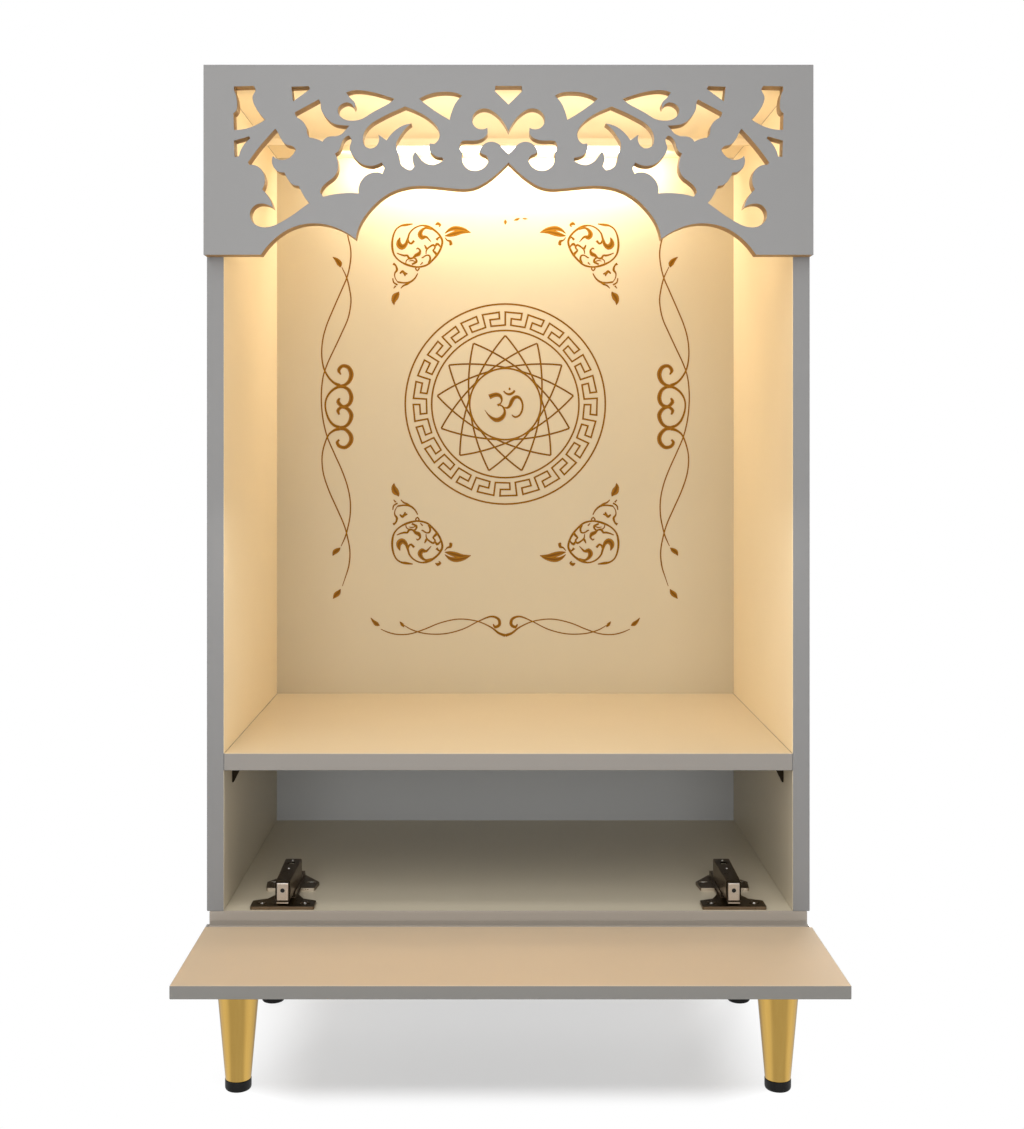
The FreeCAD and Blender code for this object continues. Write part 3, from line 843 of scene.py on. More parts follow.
@dataclass
class Relief:
    """Engraved lines as thin grooved strips standing a hair proud of a face that looks towards -Y.

    Attributes:
        scale: Metres to a drawing unit.
        middle: The drawing's middle, across and down.
        origin: Where that middle lies on the face.
        rise: How far the strips' lips stand out of the face, in metres.
        width: What the strokes' drawn widths are multiplied by.
        made: The mesh so far.
    """

    scale: float
    middle: Point
    origin: Vector
    rise: float
    width: float
    made: bmesh.types.BMesh = field(default_factory=bmesh.new)

    LIP_SHARE = 0.78
    FLOOR_SHARE = 0.15
    MITRE_LIMIT = 2.2
    LEAST_LEAN = 0.2
    LEAST_RUN = 1e-9

    def place(self, point: Vector, out: float) -> bmesh.types.BMVert:
        """A vertex for a point of the drawing, at a share of the rise out of the face.

        Args:
            point: The point.
            out: The share.

        Returns:
            The vertex.
        """
        across = (point.x - self.middle[0]) * self.scale
        up = (self.middle[1] - point.y) * self.scale
        return self.made.verts.new(self.origin + Vector((across, -out * self.rise, up)))

    def row(self, point: Vector, side: Vector, level: float) -> list[bmesh.types.BMVert]:
        """The vertices across the strip at one point of its line.

        Args:
            point: The point, with the line's width there as its third number.
            side: The sideways direction there.
            level: The share of the rise that the lips stand out.

        Returns:
            The vertices from one edge to the other.
        """
        half = point.z * self.width / 2
        shares = (
            (-1, 0), (-self.LIP_SHARE, level), (0, self.FLOOR_SHARE * level),
            (self.LIP_SHARE, level), (1, 0),
        )
        return [self.place(point + side * (share * half), out) for share, out in shares]

    def sides(self, path: list[Vector], closed: bool) -> list[Vector]:
        """The sideways direction at each point, longer where the line turns sharply.

        Args:
            path: The line's points.
            closed: Whether it ends where it starts.

        Returns:
            One direction for each point.
        """
        made = []
        last = len(path) - 1
        for index, point in enumerate(path):
            before = path[index - 1] if index or closed else point
            after = path[(index + 1) % len(path)] if index < last or closed else point
            arriving = (point - before).xy
            leaving = (after - point).xy
            if arriving.length < self.LEAST_RUN:
                arriving = leaving
            if leaving.length < self.LEAST_RUN:
                leaving = arriving
            arriving = arriving.normalized()
            leaving = leaving.normalized()
            along = (arriving + leaving).normalized()
            mitre = min(self.MITRE_LIMIT, 1 / max(self.LEAST_LEAN, along.dot(leaving)))
            made.append(Vector((-along.y, along.x, 0)) * mitre)
        return made

    def draw(self, stroke: Stroke, step: float) -> None:
        """Adds one line.

        Args:
            stroke: The line.
            step: The distance between its points, in drawing units.
        """
        path = stroke.path(step)
        sides = self.sides(path, stroke.closed)
        rows = [self.row(point, side, stroke.level) for point, side in zip(path, sides)]
        pairs = list(zip(rows, rows[1:]))
        if stroke.closed:
            pairs.append((rows[-1], rows[0]))
        else:
            self.made.faces.new(rows[0])
            self.made.faces.new(rows[-1][::-1])
        for here, there in pairs:
            next_here = here[1:] + here[:1]
            next_there = there[1:] + there[:1]
            for corners in zip(here, next_here, next_there, there):
                self.made.faces.new(corners)


def place_piece(
    name: str, made: bmesh.types.BMesh, material: bpy.types.Material
) -> bpy.types.Object:
    """Turns a finished mesh into a piece of the part that rides on the cabinet.

    Args:
        name: The piece's name.
        made: Its mesh, in the part's own frame; it is freed.
        material: Its material.

    Returns:
        The piece.
    """
    mesh = bpy.data.meshes.new(name)
    made.to_mesh(mesh)
    made.free()
    mesh.materials.append(material)
    piece = bpy.data.objects.new(name, mesh)
    bpy.context.scene.collection.objects.link(piece)
    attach(piece, CABINET)
    LOG.info("made %s, %d faces", name, len(mesh.polygons))
    return piece


def refined(node: str, width: float) -> bmesh.types.BMesh:
    """A copy of a node's mesh with its sharp edges rounded.

    Args:
        node: The node's name.
        width: The width of the rounding in metres.

    Returns:
        The copy, in the part's own frame.
    """
    made = bmesh.new()
    made.from_mesh(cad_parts[node].data)
    bmesh.ops.remove_doubles(made, verts=made.verts, dist=MERGE_REACH)
    bmesh.ops.dissolve_limit(
        made, angle_limit=math.radians(FLAT_TURN), use_dissolve_boundaries=False,
        verts=made.verts, edges=made.edges, delimit=set(),
    )
    limit = math.radians(SHARP_TURN)
    sharp = [edge for edge in made.edges if edge.is_manifold and edge.calc_face_angle() > limit]
    bmesh.ops.bevel(
        made, geom=sharp, offset=width, offset_type="OFFSET", segments=BEVEL_STEPS, profile=0.5,
        affect="EDGES", clamp_overlap=True, material=-1,
    )
    return made


def smooth(piece: bpy.types.Object, angle: float = 35.0) -> None:
    """Shades a piece smoothly, with its large faces flat and its sharp edges kept.

    Args:
        piece: The piece.
        angle: The least turn of an edge that stays sharp, in degrees.
    """
    piece.data.shade_smooth()
    piece.data.set_sharp_from_angle(angle=math.radians(angle))
    weighted = piece.modifiers.new("even_shading", "WEIGHTED_NORMAL")
    weighted.weight = EVENNESS
    weighted.keep_sharp = True


def stand_in(piece: bpy.types.Object, node: str, angle: float = 35.0) -> None:
    """Puts a piece in a node's place, smoothly shaded.

    Args:
        piece: The piece.
        node: The node's name.
        angle: The least turn of an edge that stays sharp, in degrees.
    """
    smooth(piece, angle)
    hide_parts(node)


def refine(node: str, width: float, material: bpy.types.Material) -> None:
    """Puts a dressed copy with rounded edges in a node's place.

    Args:
        node: The node's name.
        width: The width of the rounding in metres.
        material: The copy's material.
    """
    stand_in(place_piece(f"{node}_detailed", refined(node, width), material), node)


def lathe(made: bmesh.types.BMesh, profile: Sequence[Point], axis: Matrix, count: int) -> None:
    """Adds a turned form: its profile spun all the way round.

    Args:
        made: The mesh it is added to.
        profile: (radius, height) points from one end to the other, the ends at radius 0 or open.
        axis: Takes the form's own Z to its place.
        count: How many steps it has around.
    """
    points = [made.verts.new(axis @ Vector((radius, 0, height))) for radius, height in profile]
    line = [made.edges.new(pair) for pair in zip(points, points[1:])]
    bmesh.ops.spin(
        made, geom=points + line, cent=axis.to_translation(), axis=axis.to_3x3() @ Vector((0, 0, 1)),
        angle=2 * math.pi, steps=count, use_merge=True,
    )
    bmesh.ops.remove_doubles(made, verts=made.verts, dist=MERGE_REACH)


def turned(
    name: str, profile: Sequence[Point], places: Sequence[Matrix], count: int,
    material: bpy.types.Material, slot: Slot,
) -> bpy.types.Object:
    """Makes one piece of equal closed turned forms.

    Args:
        name: The piece's name.
        profile: (radius, height) points from one end to the other.
        places: Take the form's own Z to each of its places.
        count: How many steps a form has around.
        material: Its material.
        slot: Not used.

    Returns:
        The piece.
    """
    made = bmesh.new()
    for axis in places:
        lathe(made, profile, axis, count)
    bmesh.ops.recalc_face_normals(made, faces=made.faces)
    return place_piece(name, made, material)


def block(made: bmesh.types.BMesh, low: Vector, high: Vector) -> None:
    """Adds a box between two corners.

    Args:
        made: The mesh it is added to.
        low: Its left front lower corner.
        high: Its right rear upper corner.
    """
    size = Matrix.Diagonal((high - low).to_4d())
    size[3][3] = 1.0
    bmesh.ops.create_cube(made, size=1.0, matrix=Matrix.Translation((low + high) / 2) @ size)


def rounded(profile: Sequence[Point], corner: int, radius: float, steps: int = 5) -> list[Point]:
    """A profile with one corner rounded.

    Args:
        profile: The profile's points.
        corner: Which of them is rounded.
        radius: How far from the corner the rounding starts on each side.
        steps: How many steps it has.

    Returns:
        The new profile.
    """
    here = Vector(profile[corner])
    start = here + (Vector(profile[corner - 1]) - here).normalized() * radius
    end = here + (Vector(profile[corner + 1]) - here).normalized() * radius
    arc = []
    for step in range(steps + 1):
        share = step / steps
        point = start.lerp(here, share).lerp(here.lerp(end, share), share)
        arc.append((point.x, point.y))
    return list(profile[:corner]) + arc + list(profile[corner + 1:])


@dataclass(frozen=True)
class Screw:
    """A cross-headed screw: where its head sits, which way it faces and how far it is turned.

    The shares in capitals are of the radius, and of the rise for heights.
    """

    seat: Vector
    facing: Vector
    radius: float
    rise: float
    turn: float = 0.4

    CROWN = 0.74
    WALL = (1.0, 0.35)
    BROW = (0.93, 0.75)
    MOUTH = (0.56, 0.13)
    FLOOR = (0.4, 0.09)
    FLOOR_LEVEL = 0.25
    STEPS = 24

    def axis(self) -> Matrix:
        """Takes the head's own frame to its place."""
        facing = self.facing.to_track_quat("Z", "Y").to_matrix().to_4x4()
        return Matrix.Translation(self.seat) @ facing @ Matrix.Rotation(self.turn, 4, "Z")

    def cross(self, made: bmesh.types.BMesh, size: Point, level: float) -> list[bmesh.types.BMEdge]:
        """The recess's outline at a level.

        Args:
            made: The mesh it is added to.
            size: The reach of the cross's arms and half their width, as shares.
            level: Its height, as a share.

        Returns:
            The outline's edges.
        """
        reach, half = (share * self.radius for share in size)
        axis = self.axis()
        corners = []
        for turn in range(4):
            spin = axis @ Matrix.Rotation(math.pi / 2 * turn, 4, "Z")
            for across, along in ((reach, -half), (reach, half), (half, half)):
                corners.append(made.verts.new(spin @ Vector((across, along, level * self.rise))))
        return [made.edges.new(pair) for pair in zip(corners, corners[1:] + corners[:1])]

    def draw(self, made: bmesh.types.BMesh) -> None:
        """Adds the head to a mesh.

        Args:
            made: The mesh.
        """
        shares = ((0.0, 0.0), (1.0, 0.0), self.WALL, self.BROW, (self.CROWN, 1.0))
        profile = [(across * self.radius, up * self.rise) for across, up in shares]
        lathe(made, profile, self.axis(), self.STEPS)
        top = self.seat + self.facing * self.rise
        reach = self.radius * self.CROWN + MERGE_REACH
        rim = [
            edge for edge in made.edges
            if edge.is_boundary and all((vertex.co - top).length < reach for vertex in edge.verts)
        ]
        mouth = self.cross(made, self.MOUTH, 1.0)
        floor = self.cross(made, self.FLOOR, self.FLOOR_LEVEL)
        bmesh.ops.triangle_fill(made, edges=rim + mouth, use_beauty=True)
        bmesh.ops.bridge_loops(made, edges=mouth + floor)
        bmesh.ops.contextual_create(made, geom=floor)


def screws(name: str, heads: Iterable[Screw], material: bpy.types.Material) -> None:
    """Makes one piece that holds a group of screw heads.

    Args:
        name: The piece's name.
        heads: The screws.
        material: Their material.
    """
    made = bmesh.new()
    for head in heads:
        head.draw(made)
    bmesh.ops.recalc_face_normals(made, faces=made.faces)
    smooth(place_piece(name, made, material), SHARP_TURN)


# The engraved drawing runs right and down, one unit to 1.24 mm of the panel.
UPRIGHT_AXIS = 504.5
LEVEL_AXIS = 394.0
ROUND_MIDDLE = (504.5, 404.0)

# The corner flourish, drawn for the lower left corner.
FLOURISH = (
    Stroke((
        (412, 564, .8), (405, 563, 1.8), (400, 562, 1.2), (395, 558, 1.1), (392, 550, 1.3),
        (391.5, 541, 1.5), (393.5, 533, 1.2), (399, 527, 1.1), (407, 523, 1.5), (416, 521, 1.2),
        (425, 522.5, 1.3), (431, 527, 1.3), (437, 534, 1.5), (440.5, 541, 1.4), (441.5, 547, 1.5),
        (439, 552.5, 1.4), (434, 557.5, 1.5), (428, 561, 1.8), (421, 562.5, 1.1), (414, 560, 1.1),
        (409, 555, 1.2), (407, 549, 1.5), (405, 543.5, 2.4), (401.5, 541, 3.6), (398.5, 543, 3.8),
        (398, 546.5, 2.6), (399.3, 550.5, .6),
    )),
    Stroke(((407, 549, 1.2), (408.2, 545.6, 1.3), (410.5, 544.4, 1.4), (413.4, 547.4, 1.6))),
    Stroke((
        (430.5, 546, .5), (425.5, 551, 1.6), (421.5, 550.5, 3), (419.3, 553.5, 3.2),
        (421, 557.5, 2.2), (425, 560, 1.4), (431, 559.5, 2.2),
    )),
    Stroke((
        (396, 535, .7), (400, 533.3, 1.1), (404, 532.4, 1.4), (406.5, 532.5, 1.3), (408.6, 529.6, 1.6),
        (412, 530, 1.2), (415, 532.6, 2.2), (418, 534, 2.6), (419.4, 537.4, 1.3), (417, 539.8, 1),
        (415.6, 538.6, .7),
    )),
    Stroke(((411, 523.6, 1.2), (415.6, 526, 1.5), (415, 529, 1.2), (412.6, 530.4, 1))),
    Stroke(((405, 523.4, .6), (405.6, 527.4, .8), (408.6, 529.6, .8))),
    Stroke(((408, 526.8, .4), (411.4, 527.4, .9), (414.6, 526.4, .6))),
    Stroke(((419.6, 523.2, .6), (422, 525.6, 1.1))),
    Stroke((
        (427.4, 525, .8), (429.4, 528.6, 1.4), (428.6, 532.2, 1.2), (425.4, 532.6, 1), (422, 530.4, 1),
        (420.6, 530.2, .5),
    )),
    Stroke((
        (425.2, 534, .6), (425.8, 538, 1), (429, 541.2, 1.2), (432.6, 543, 1.4), (434.4, 540.2, 1),
        (432.4, 537.6, 1.2), (435, 534.6, 1.7), (436.4, 531.6, 1),
    )),
    Stroke(((423.8, 543.2, .7), (425.6, 539.6, 1.6), (427, 539, .6))),
    Stroke(((433.4, 539.8, .6), (436.2, 544, 1.8), (439.2, 541.8, 1), (440.2, 538.4, .7))),
    Stroke(((435.6, 548, 1.8), (438.6, 550.8, 1), (440.6, 548.2, .6))),
    Stroke(((417, 514.6, .8), (414, 509.6, 1.1), (409, 505.8, 1.4), (403, 505.2, 1.1), (397, 506, 1.2))),
    Stroke((
        (397.4, 505.4, .6), (394.4, 510, .7), (394, 514.6, 1), (396.2, 518, 1.6), (395, 522.4, 1.2),
        (392.4, 524.4, 1.8),
    )),
    Stroke(((392, 509.8, .8), (393, 505.6, 1), (396.8, 503, 1.2))),
    Stroke(((392.8, 499.6, .6), (395, 502.2, 1.2))),
    Stroke(((400, 499.6, .6), (402.8, 502.4, 1.1), (406.4, 503.8, 1.2), (409, 506, 1.6))),
    Stroke(((399, 514.4, 1), (401.8, 516.6, 1.7), (404.2, 513.4, 1.4), (404, 511.8, .7))),
    Stroke(((401.8, 516.6, 1), (406.6, 513.8, 1.1))),
    Stroke(((416.6, 517.4, .9), (418.4, 519.4, .9), (416.6, 521.2, .9), (414.8, 519.4, .9)), closed=True),
    Stroke(((393.4, 483, .4), (393, 487, 3), (394.6, 491.2, 4.4), (397, 494.2, 2.6), (398, 496.4, .4))),
    Stroke(((444, 552, .5), (449, 553, 2.6), (455, 554.6, 3.4), (462, 556, 2.4), (470, 555.4, .4))),
    Stroke(((444, 554.4, .5), (449, 558.2, 2.2), (455, 559.6, 3.2), (463, 558.2, 2.6), (470, 555.4, .4))),
    Stroke((
        (444, 550.6, .5), (446.6, 547.6, 1.1), (449.4, 546.8, 1.8), (450, 544, 2.2), (448.6, 543, .8),
    )),
    Stroke(((434.6, 563, .6), (437, 564.4, 2.2), (439.4, 562.8, 1.4), (438, 561, .6))),
)

# The climbing stems at the left, and the curls between them.
VINE = (
    Stroke((
        (345, 215, .9), (347, 235, .9), (349.4, 246, .9), (350.2, 255, .9), (349, 266, .9), (346, 278, .9),
        (340, 292, .9), (333, 308, .9), (326, 325, .9), (322, 340, .9), (321, 355, .9), (323, 368, 1.1),
        (327.6, 377, 1.3), (333, 382.6, 1.6), (339, 385.6, 2.4),
    )),
    Stroke((
        (341, 267, .5), (346, 278, .9), (349, 290, .9), (350.2, 302, .9), (347.4, 318, .9), (341, 333, .9),
        (334, 348, .9), (327, 363, .9), (322.6, 376, .9), (320.8, 390, .9), (320.8, 405, .9),
        (322.6, 421, .9), (326.6, 437, .9), (333.4, 453, .9), (341, 470, .9), (346.4, 485, .9),
        (349.4, 500, .9), (349.4, 515, .9), (347, 528, .9), (344.4, 537, .9), (340.4, 546, .5),
    )),
    Stroke((
        (339, 428.6, 2.4), (332.6, 430.8, 1.6), (326.6, 437, 1.1), (321.6, 454, .9), (322.4, 472, .9),
        (328, 490, .9), (336, 508, .9), (343, 524, .9), (347, 538, .9), (349.2, 552, .9), (348, 566, .9),
        (344, 579, .6), (341.6, 586, .4),
    )),
    Stroke((
        (340.2, 374.6, .8), (338, 370.4, 2.2), (341.6, 366, 2.2), (347.6, 367.4, 2.6), (350.6, 374, 3),
        (348.6, 381, 2.6), (344, 385, 2), (339, 385.8, 1.6),
    )),
    Stroke((
        (339, 398, 1.2), (337.4, 402, 2.4), (342, 406.4, 2), (348, 404.6, 2.4), (350.6, 398, 2.8),
        (348.4, 390.6, 2.4), (343, 387, 2), (336.4, 387.4, 1.8), (329.4, 392.4, 1.5), (325.2, 400, 1.2),
        (324.8, 409, 1.2), (328, 419, 1.5), (333, 425, 1.8), (339, 427.4, 2),
    )),
    Stroke((
        (338.6, 414.6, 1.2), (337.2, 410.6, 2.2), (341, 407.2, 1.8), (347, 409, 2.4), (350.6, 415, 2.8),
        (348.6, 422.4, 2.4), (344, 426.6, 2), (339, 427.4, 1.8),
    )),
    Stroke((
        (339, 428.6, 1.8), (345, 429.6, 2.2), (350, 435.4, 2.8), (350, 442, 2.8), (345, 447.2, 2.4),
        (339, 446.4, 2.2), (336.4, 442.4, 2), (338.6, 439.6, 1.2),
    )),
    Stroke(((332, 257, .4), (336, 260, 2.6), (339, 264, 3.4), (339.6, 267.4, .4))),
    Stroke(((339.6, 547.6, .4), (337.4, 549.6, 2.6), (334, 552, 3), (332, 555.6, .4))),
    Stroke(((339.8, 589, .4), (337.8, 592.4, 3), (335, 595, 3.2), (332.4, 598.6, .4))),
)

# The left half of the low garland; the right half mirrors it.
GARLAND = (
    Stroke((
        (380, 629, .5), (388, 632.4, .8), (398, 634.4, .8), (410, 633.6, .8), (424, 629, .8),
        (440, 622.6, .8), (458, 619, .8), (476, 621, .8), (490, 627, 1), (498, 633, 1.6), (504.5, 635.4, 2),
    )),
    Stroke((
        (402, 624.4, .5), (412, 630, .8), (426, 633.6, .8), (444, 633.6, .8), (462, 629, .8),
        (478, 621, .8), (490, 616.4, 1.2), (497.6, 619, 1.8), (498.6, 624.6, 2), (494.4, 627, 1.8),
        (492.4, 624, .8),
    )),
    Stroke(((370, 617.6, .4), (372.6, 621, 1.8), (376, 624, 2.8), (379, 625.4, .4))),
    Stroke(((399, 621.4, .4), (401.4, 624.4, 2.2), (403.4, 627, .4))),
)

# The small leaves over the round.
DROPLETS = (
    Stroke(((504.5, 219.6, .4), (504.6, 222, 2.2), (504.5, 224.8, .4))),
    Stroke(((513, 220.4, .4), (516.4, 219.4, 1.8), (519, 218.2, .4))),
    Stroke(((521.6, 218.6, .3), (524, 218.8, 1.2), (527, 219, .3))),
)

OM = (
    Stroke((
        (488.4, 396.9, 3.2), (492, 395.4, 2.9), (496, 394.6, 2.8), (499.4, 396, 2.2), (501, 399.6, 1.3),
        (500, 403, .9), (496.8, 405.4, 1.9),
    )),
    Stroke((
        (496.8, 405.2, 1.2), (499.6, 405.2, 1), (502.6, 407.4, 1.2), (504, 411.6, 1.7), (502.6, 416, 2.6),
        (499, 419.2, 3), (495, 419.8, 2.8), (491, 417.8, 1.9), (487.4, 414.6, 1), (484, 410, .3),
    )),
    Stroke((
        (503, 407.4, .7), (506.4, 407.8, 1.4), (509, 405.6, 2.1), (511, 401, 2.6), (513.4, 397.8, 2.4),
        (516.8, 396.9, 2.1), (520, 399.4, 1.5), (521.8, 404.6, 1.3), (521.2, 410.6, 1.3), (518.8, 415, 1.3),
        (515.2, 417, 1.3), (512.6, 416.2, 1.1), (511, 414.6, .6),
    )),
    Stroke((
        (502.8, 391, .9), (505.4, 393.4, 1.2), (508.8, 394.2, 1.7), (512, 392.8, 1.7), (514, 390.4, 1.4),
    )),
    Stroke(((507.8, 388.9, 1.3), (508.9, 388.9, 1.9), (509.8, 388.9, .9))),
)


@dataclass
class Engraving:
    """The ornament engraved in the altar's back panel."""

    rise: float = 0.00022
    scale: float = 0.00124
    level: float = 0.7154
    outer_circle: float = 100.0
    key_high: float = 92.0
    key_low: float = 79.0
    key_bends: Point = (0.28, 0.73)
    keys: int = 25
    inner_circle: float = 73.6
    star_reach: float = 68.5
    star_points: int = 13
    star_skip: int = 5
    star_level: float = 0.9
    star_drop: float = 0.02
    core_circle: float = 35.6
    line: float = 1.75
    width: float = 1.55
    fine_step: float = 0.6
    long_step: float = 1.6
    # The first colour is painted shade low in the engraved strips, the second the lines' own brown-gold at
    # their lips.
    groove_shade: Colour = (98, 59, 0)
    lip: Colour = (150, 102, 14)
    material: bpy.types.Material = field(init=False)

    def __post_init__(self) -> None:
        """Makes the finish and finds the face."""
        self.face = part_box("altar_back_panel")[0].y
        self.material = Engraved("engraved_line", self.lip, self.groove_shade, self.face, self.rise).material()

    def build(self) -> None:
        """Makes every engraved piece."""
        self.engrave("round_engraving", self.round())
        self.engrave("om_engraving", OM, self.fine_step)
        for side in SIDES:
            for row in ("lower", "upper"):
                flourish = [self.turned(stroke, side, row) for stroke in FLOURISH]
                self.engrave(f"flourish_{row}_{side}", flourish)
        for side in SIDES:
            self.engrave(f"vine_{side}", [self.turned(stroke, side) for stroke in VINE], self.long_step)
        garland = [self.turned(stroke, side) for stroke in GARLAND for side in SIDES]
        self.engrave("garland", garland, self.long_step)
        self.engrave("leaf_specks", DROPLETS)

    def engrave(self, name: str, strokes: Iterable[Stroke], step: float = 1.2) -> None:
        """Makes one piece on the panel's face.

        Args:
            name: Its name.
            strokes: Its lines.
            step: The distance between a smooth line's points, in drawing units.
        """
        origin = Vector((0, self.face, self.level))
        relief = Relief(self.scale, (UPRIGHT_AXIS, LEVEL_AXIS), origin, self.rise, self.width)
        for stroke in strokes:
            relief.draw(stroke, step)
        bmesh.ops.recalc_face_normals(relief.made, faces=relief.made.faces)
        place_piece(name, relief.made, self.material)

    @staticmethod
    def turned(stroke: Stroke, side: str, row: str = "lower") -> Stroke:
        """A line drawn at the lower left, taken to another side or row.

        Args:
            stroke: The line.
            side: "left" or "right".
            row: "lower" or "upper".

        Returns:
            The line in its place.
        """
        if side == "right":
            stroke = stroke.mirrored(UPRIGHT_AXIS)
        return stroke.flipped(LEVEL_AXIS) if row == "upper" else stroke

    def polar(self, reach: float, angle: float) -> Spot:
        """A point of the round, at an angle clockwise from its top, with the line's width.

        Args:
            reach: Its distance from the middle.
            angle: The angle in radians.

        Returns:
            The point.
        """
        x = ROUND_MIDDLE[0] + reach * math.sin(angle)
        y = ROUND_MIDDLE[1] - reach * math.cos(angle)
        return (x, y, self.line / self.width)

    def ring(self, reach: float, count: int = 96) -> Stroke:
        """A circle of the round."""
        turns = [2 * math.pi * index / count for index in range(count)]
        return Stroke(tuple(self.polar(reach, turn) for turn in turns), False, True)

    def key_band(self) -> Stroke:
        """The running key pattern between the circles.

        Returns:
            The pattern's line.
        """
        pitch = 2 * math.pi / self.keys
        middle = (self.key_high + self.key_low) / 2
        near, far = self.key_bends
        corners = (
            (0.0, self.key_high), (far, self.key_high), (far, middle), (near, middle),
            (near, self.key_low), (1.0, self.key_low),
        )
        points = []
        for index in range(self.keys):
            for along, reach in corners:
                points.append(self.polar(reach, (index + along) * pitch))
        return Stroke(tuple(points), False, True)

    def star_arc(self, index: int, count: int = 30) -> Stroke:
        """One bowed side of the star, from a point to the fifth after it, touching the core circle.

        Args:
            index: Which of the sides it is.
            count: How many steps it has.

        Returns:
            The side's line.
        """
        first = 2 * math.pi * index / self.star_points
        half = math.pi * self.star_skip / self.star_points
        reach, core = self.star_reach, self.core_circle
        offset = (reach ** 2 - core ** 2) / (2 * (core - reach * math.cos(half)))
        bow = offset + core
        spread = math.asin(reach * math.sin(half) / bow)
        heading = first + half
        points = []
        for step in range(count + 1):
            turn = heading + spread * (2 * step / count - 1)
            x = bow * math.sin(turn) - offset * math.sin(heading)
            y = bow * math.cos(turn) - offset * math.cos(heading)
            points.append((ROUND_MIDDLE[0] + x, ROUND_MIDDLE[1] - y, self.line / self.width))
        return Stroke(tuple(points), False, level=self.star_level - self.star_drop * index)

    def round(self) -> list[Stroke]:
        """The great round: circles, key band and star."""
        circles = [self.ring(reach) for reach in (self.outer_circle, self.inner_circle, self.core_circle)]
        return circles + [self.key_band()] + [self.star_arc(index) for index in range(self.star_points)]


@dataclass
class CeilingLight:
    """The tray and its lit cover."""

    tray: Colour = (225, 225, 225)
    tray_dark: Colour = (200, 200, 200)
    roughness: float = 0.35
    cover: Colour = (250, 247, 240)
    glow: Colour = (255, 246, 228)
    strength: float = 7.0

    def build(self) -> None:
        """Dresses the lamp."""
        tray = Metal("tray_metal", self.tray, self.tray_dark, self.roughness)
        opal = Opal("opal_cover", self.cover, self.glow, self.strength)
        dress("light_housing", tray.material())
        dress("light_diffuser", opal.material())


@dataclass
class Legs:
    """The four legs with their feet and plates."""

    steps: int = 96
    bottom_radius: float = 0.013
    lip: float = 0.0004
    plate_ease: float = 0.0005
    foot_corner: float = 0.0034
    socket: float = 0.86
    smoothing: float = 28.0
    gold: Colour = (216, 178, 98)
    gold_dark: Colour = (202, 162, 84)
    roughness: float = 0.17
    grain_stretch: Spot = (1, 1, 0.03)
    grain_scale: float = 300.0
    black: Colour = (13, 12, 11)

    def build(self) -> None:
        """Makes every leg."""
        gold = Metal(
            "leg_gold", self.gold, self.gold_dark, self.roughness, self.grain_stretch, self.grain_scale
        ).material()
        black = Rubber("foot_rubber", self.black).material()
        for row in ROWS:
            for side in SIDES:
                self.tube(f"leg_{row}_{side}", gold)
                self.foot(f"leg_foot_{row}_{side}", black)
                self.plate(f"leg_plate_{row}_{side}", gold)

    def turn(
        self, node: str, profile: Sequence[Point], material: bpy.types.Material, slot: Slot
    ) -> None:
        """Replaces a node with a turned form about its own upright axis.

        Args:
            node: The node's name.
            profile: (radius, height) points from one end to the other.
            material: The form's material.
            slot: A slot, passed on to turned().
        """
        low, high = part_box(node)
        axis = Matrix.Translation(((low.x + high.x) / 2, (low.y + high.y) / 2, 0))
        piece = turned(f"{node}_turned", profile, [axis], self.steps, material, slot)
        stand_in(piece, node, self.smoothing)

    def tube(self, node: str, material: bpy.types.Material) -> None:
        """The tapered tube, its lower end turned in over the foot.

        Args:
            node: The node's name.
            material: The tube's material.
        """
        low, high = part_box(node)
        top = (high.x - low.x) / 2
        bottom = self.bottom_radius
        lip = self.lip
        wall = 3 * lip
        profile = [
            (bottom - wall, low.z + wall), (bottom - wall, low.z), (bottom - lip, low.z),
            (bottom, low.z + lip), (top, high.z - lip), (top - lip, high.z),
            (top - wall, high.z), (top - wall, high.z - wall),
        ]
        profile.append(profile[0])
        self.turn(node, profile, material, Slot.GOLD)

    def foot(self, node: str, material: bpy.types.Material) -> None:
        """The moulded foot with its rounded lower rim.

        Args:
            node: The node's name.
            material: The foot's material.
        """
        low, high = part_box(node)
        radius = (high.x - low.x) / 2
        plug = self.bottom_radius - 4 * self.lip
        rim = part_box(node.replace("foot_", ""))[0].z
        profile = [
            (0.0, low.z), (radius, low.z), (radius, rim - self.lip), (radius - self.lip, rim),
            (plug, rim), (plug, high.z), (0.0, high.z),
        ]
        self.turn(node, rounded(profile, 1, self.foot_corner), material, Slot.BLACK)

    def plate(self, node: str, material: bpy.types.Material) -> None:
        """The round plate under the base.

        Args:
            node: The node's name.
            material: The plate's material.
        """
        low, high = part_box(node)
        radius = (high.x - low.x) / 2
        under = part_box(node.replace("plate_", ""))[1].z
        hollow = radius * self.socket
        ease = self.plate_ease
        profile = [
            (0.0, low.z), (hollow, low.z), (hollow, under), (radius - ease, under),
            (radius, under + ease), (radius, high.z - ease), (radius - ease, high.z), (0.0, high.z),
        ]
        self.turn(node, profile, material, Slot.GOLD)


@dataclass(frozen=True)
class HingeFinishes:
    """The materials of the hinge hardware."""

    bronze: bpy.types.Material
    plated: bpy.types.Material
    nickel: bpy.types.Material
    # A black used as painted shade in the blocks' holes.
    bore_shade: bpy.types.Material


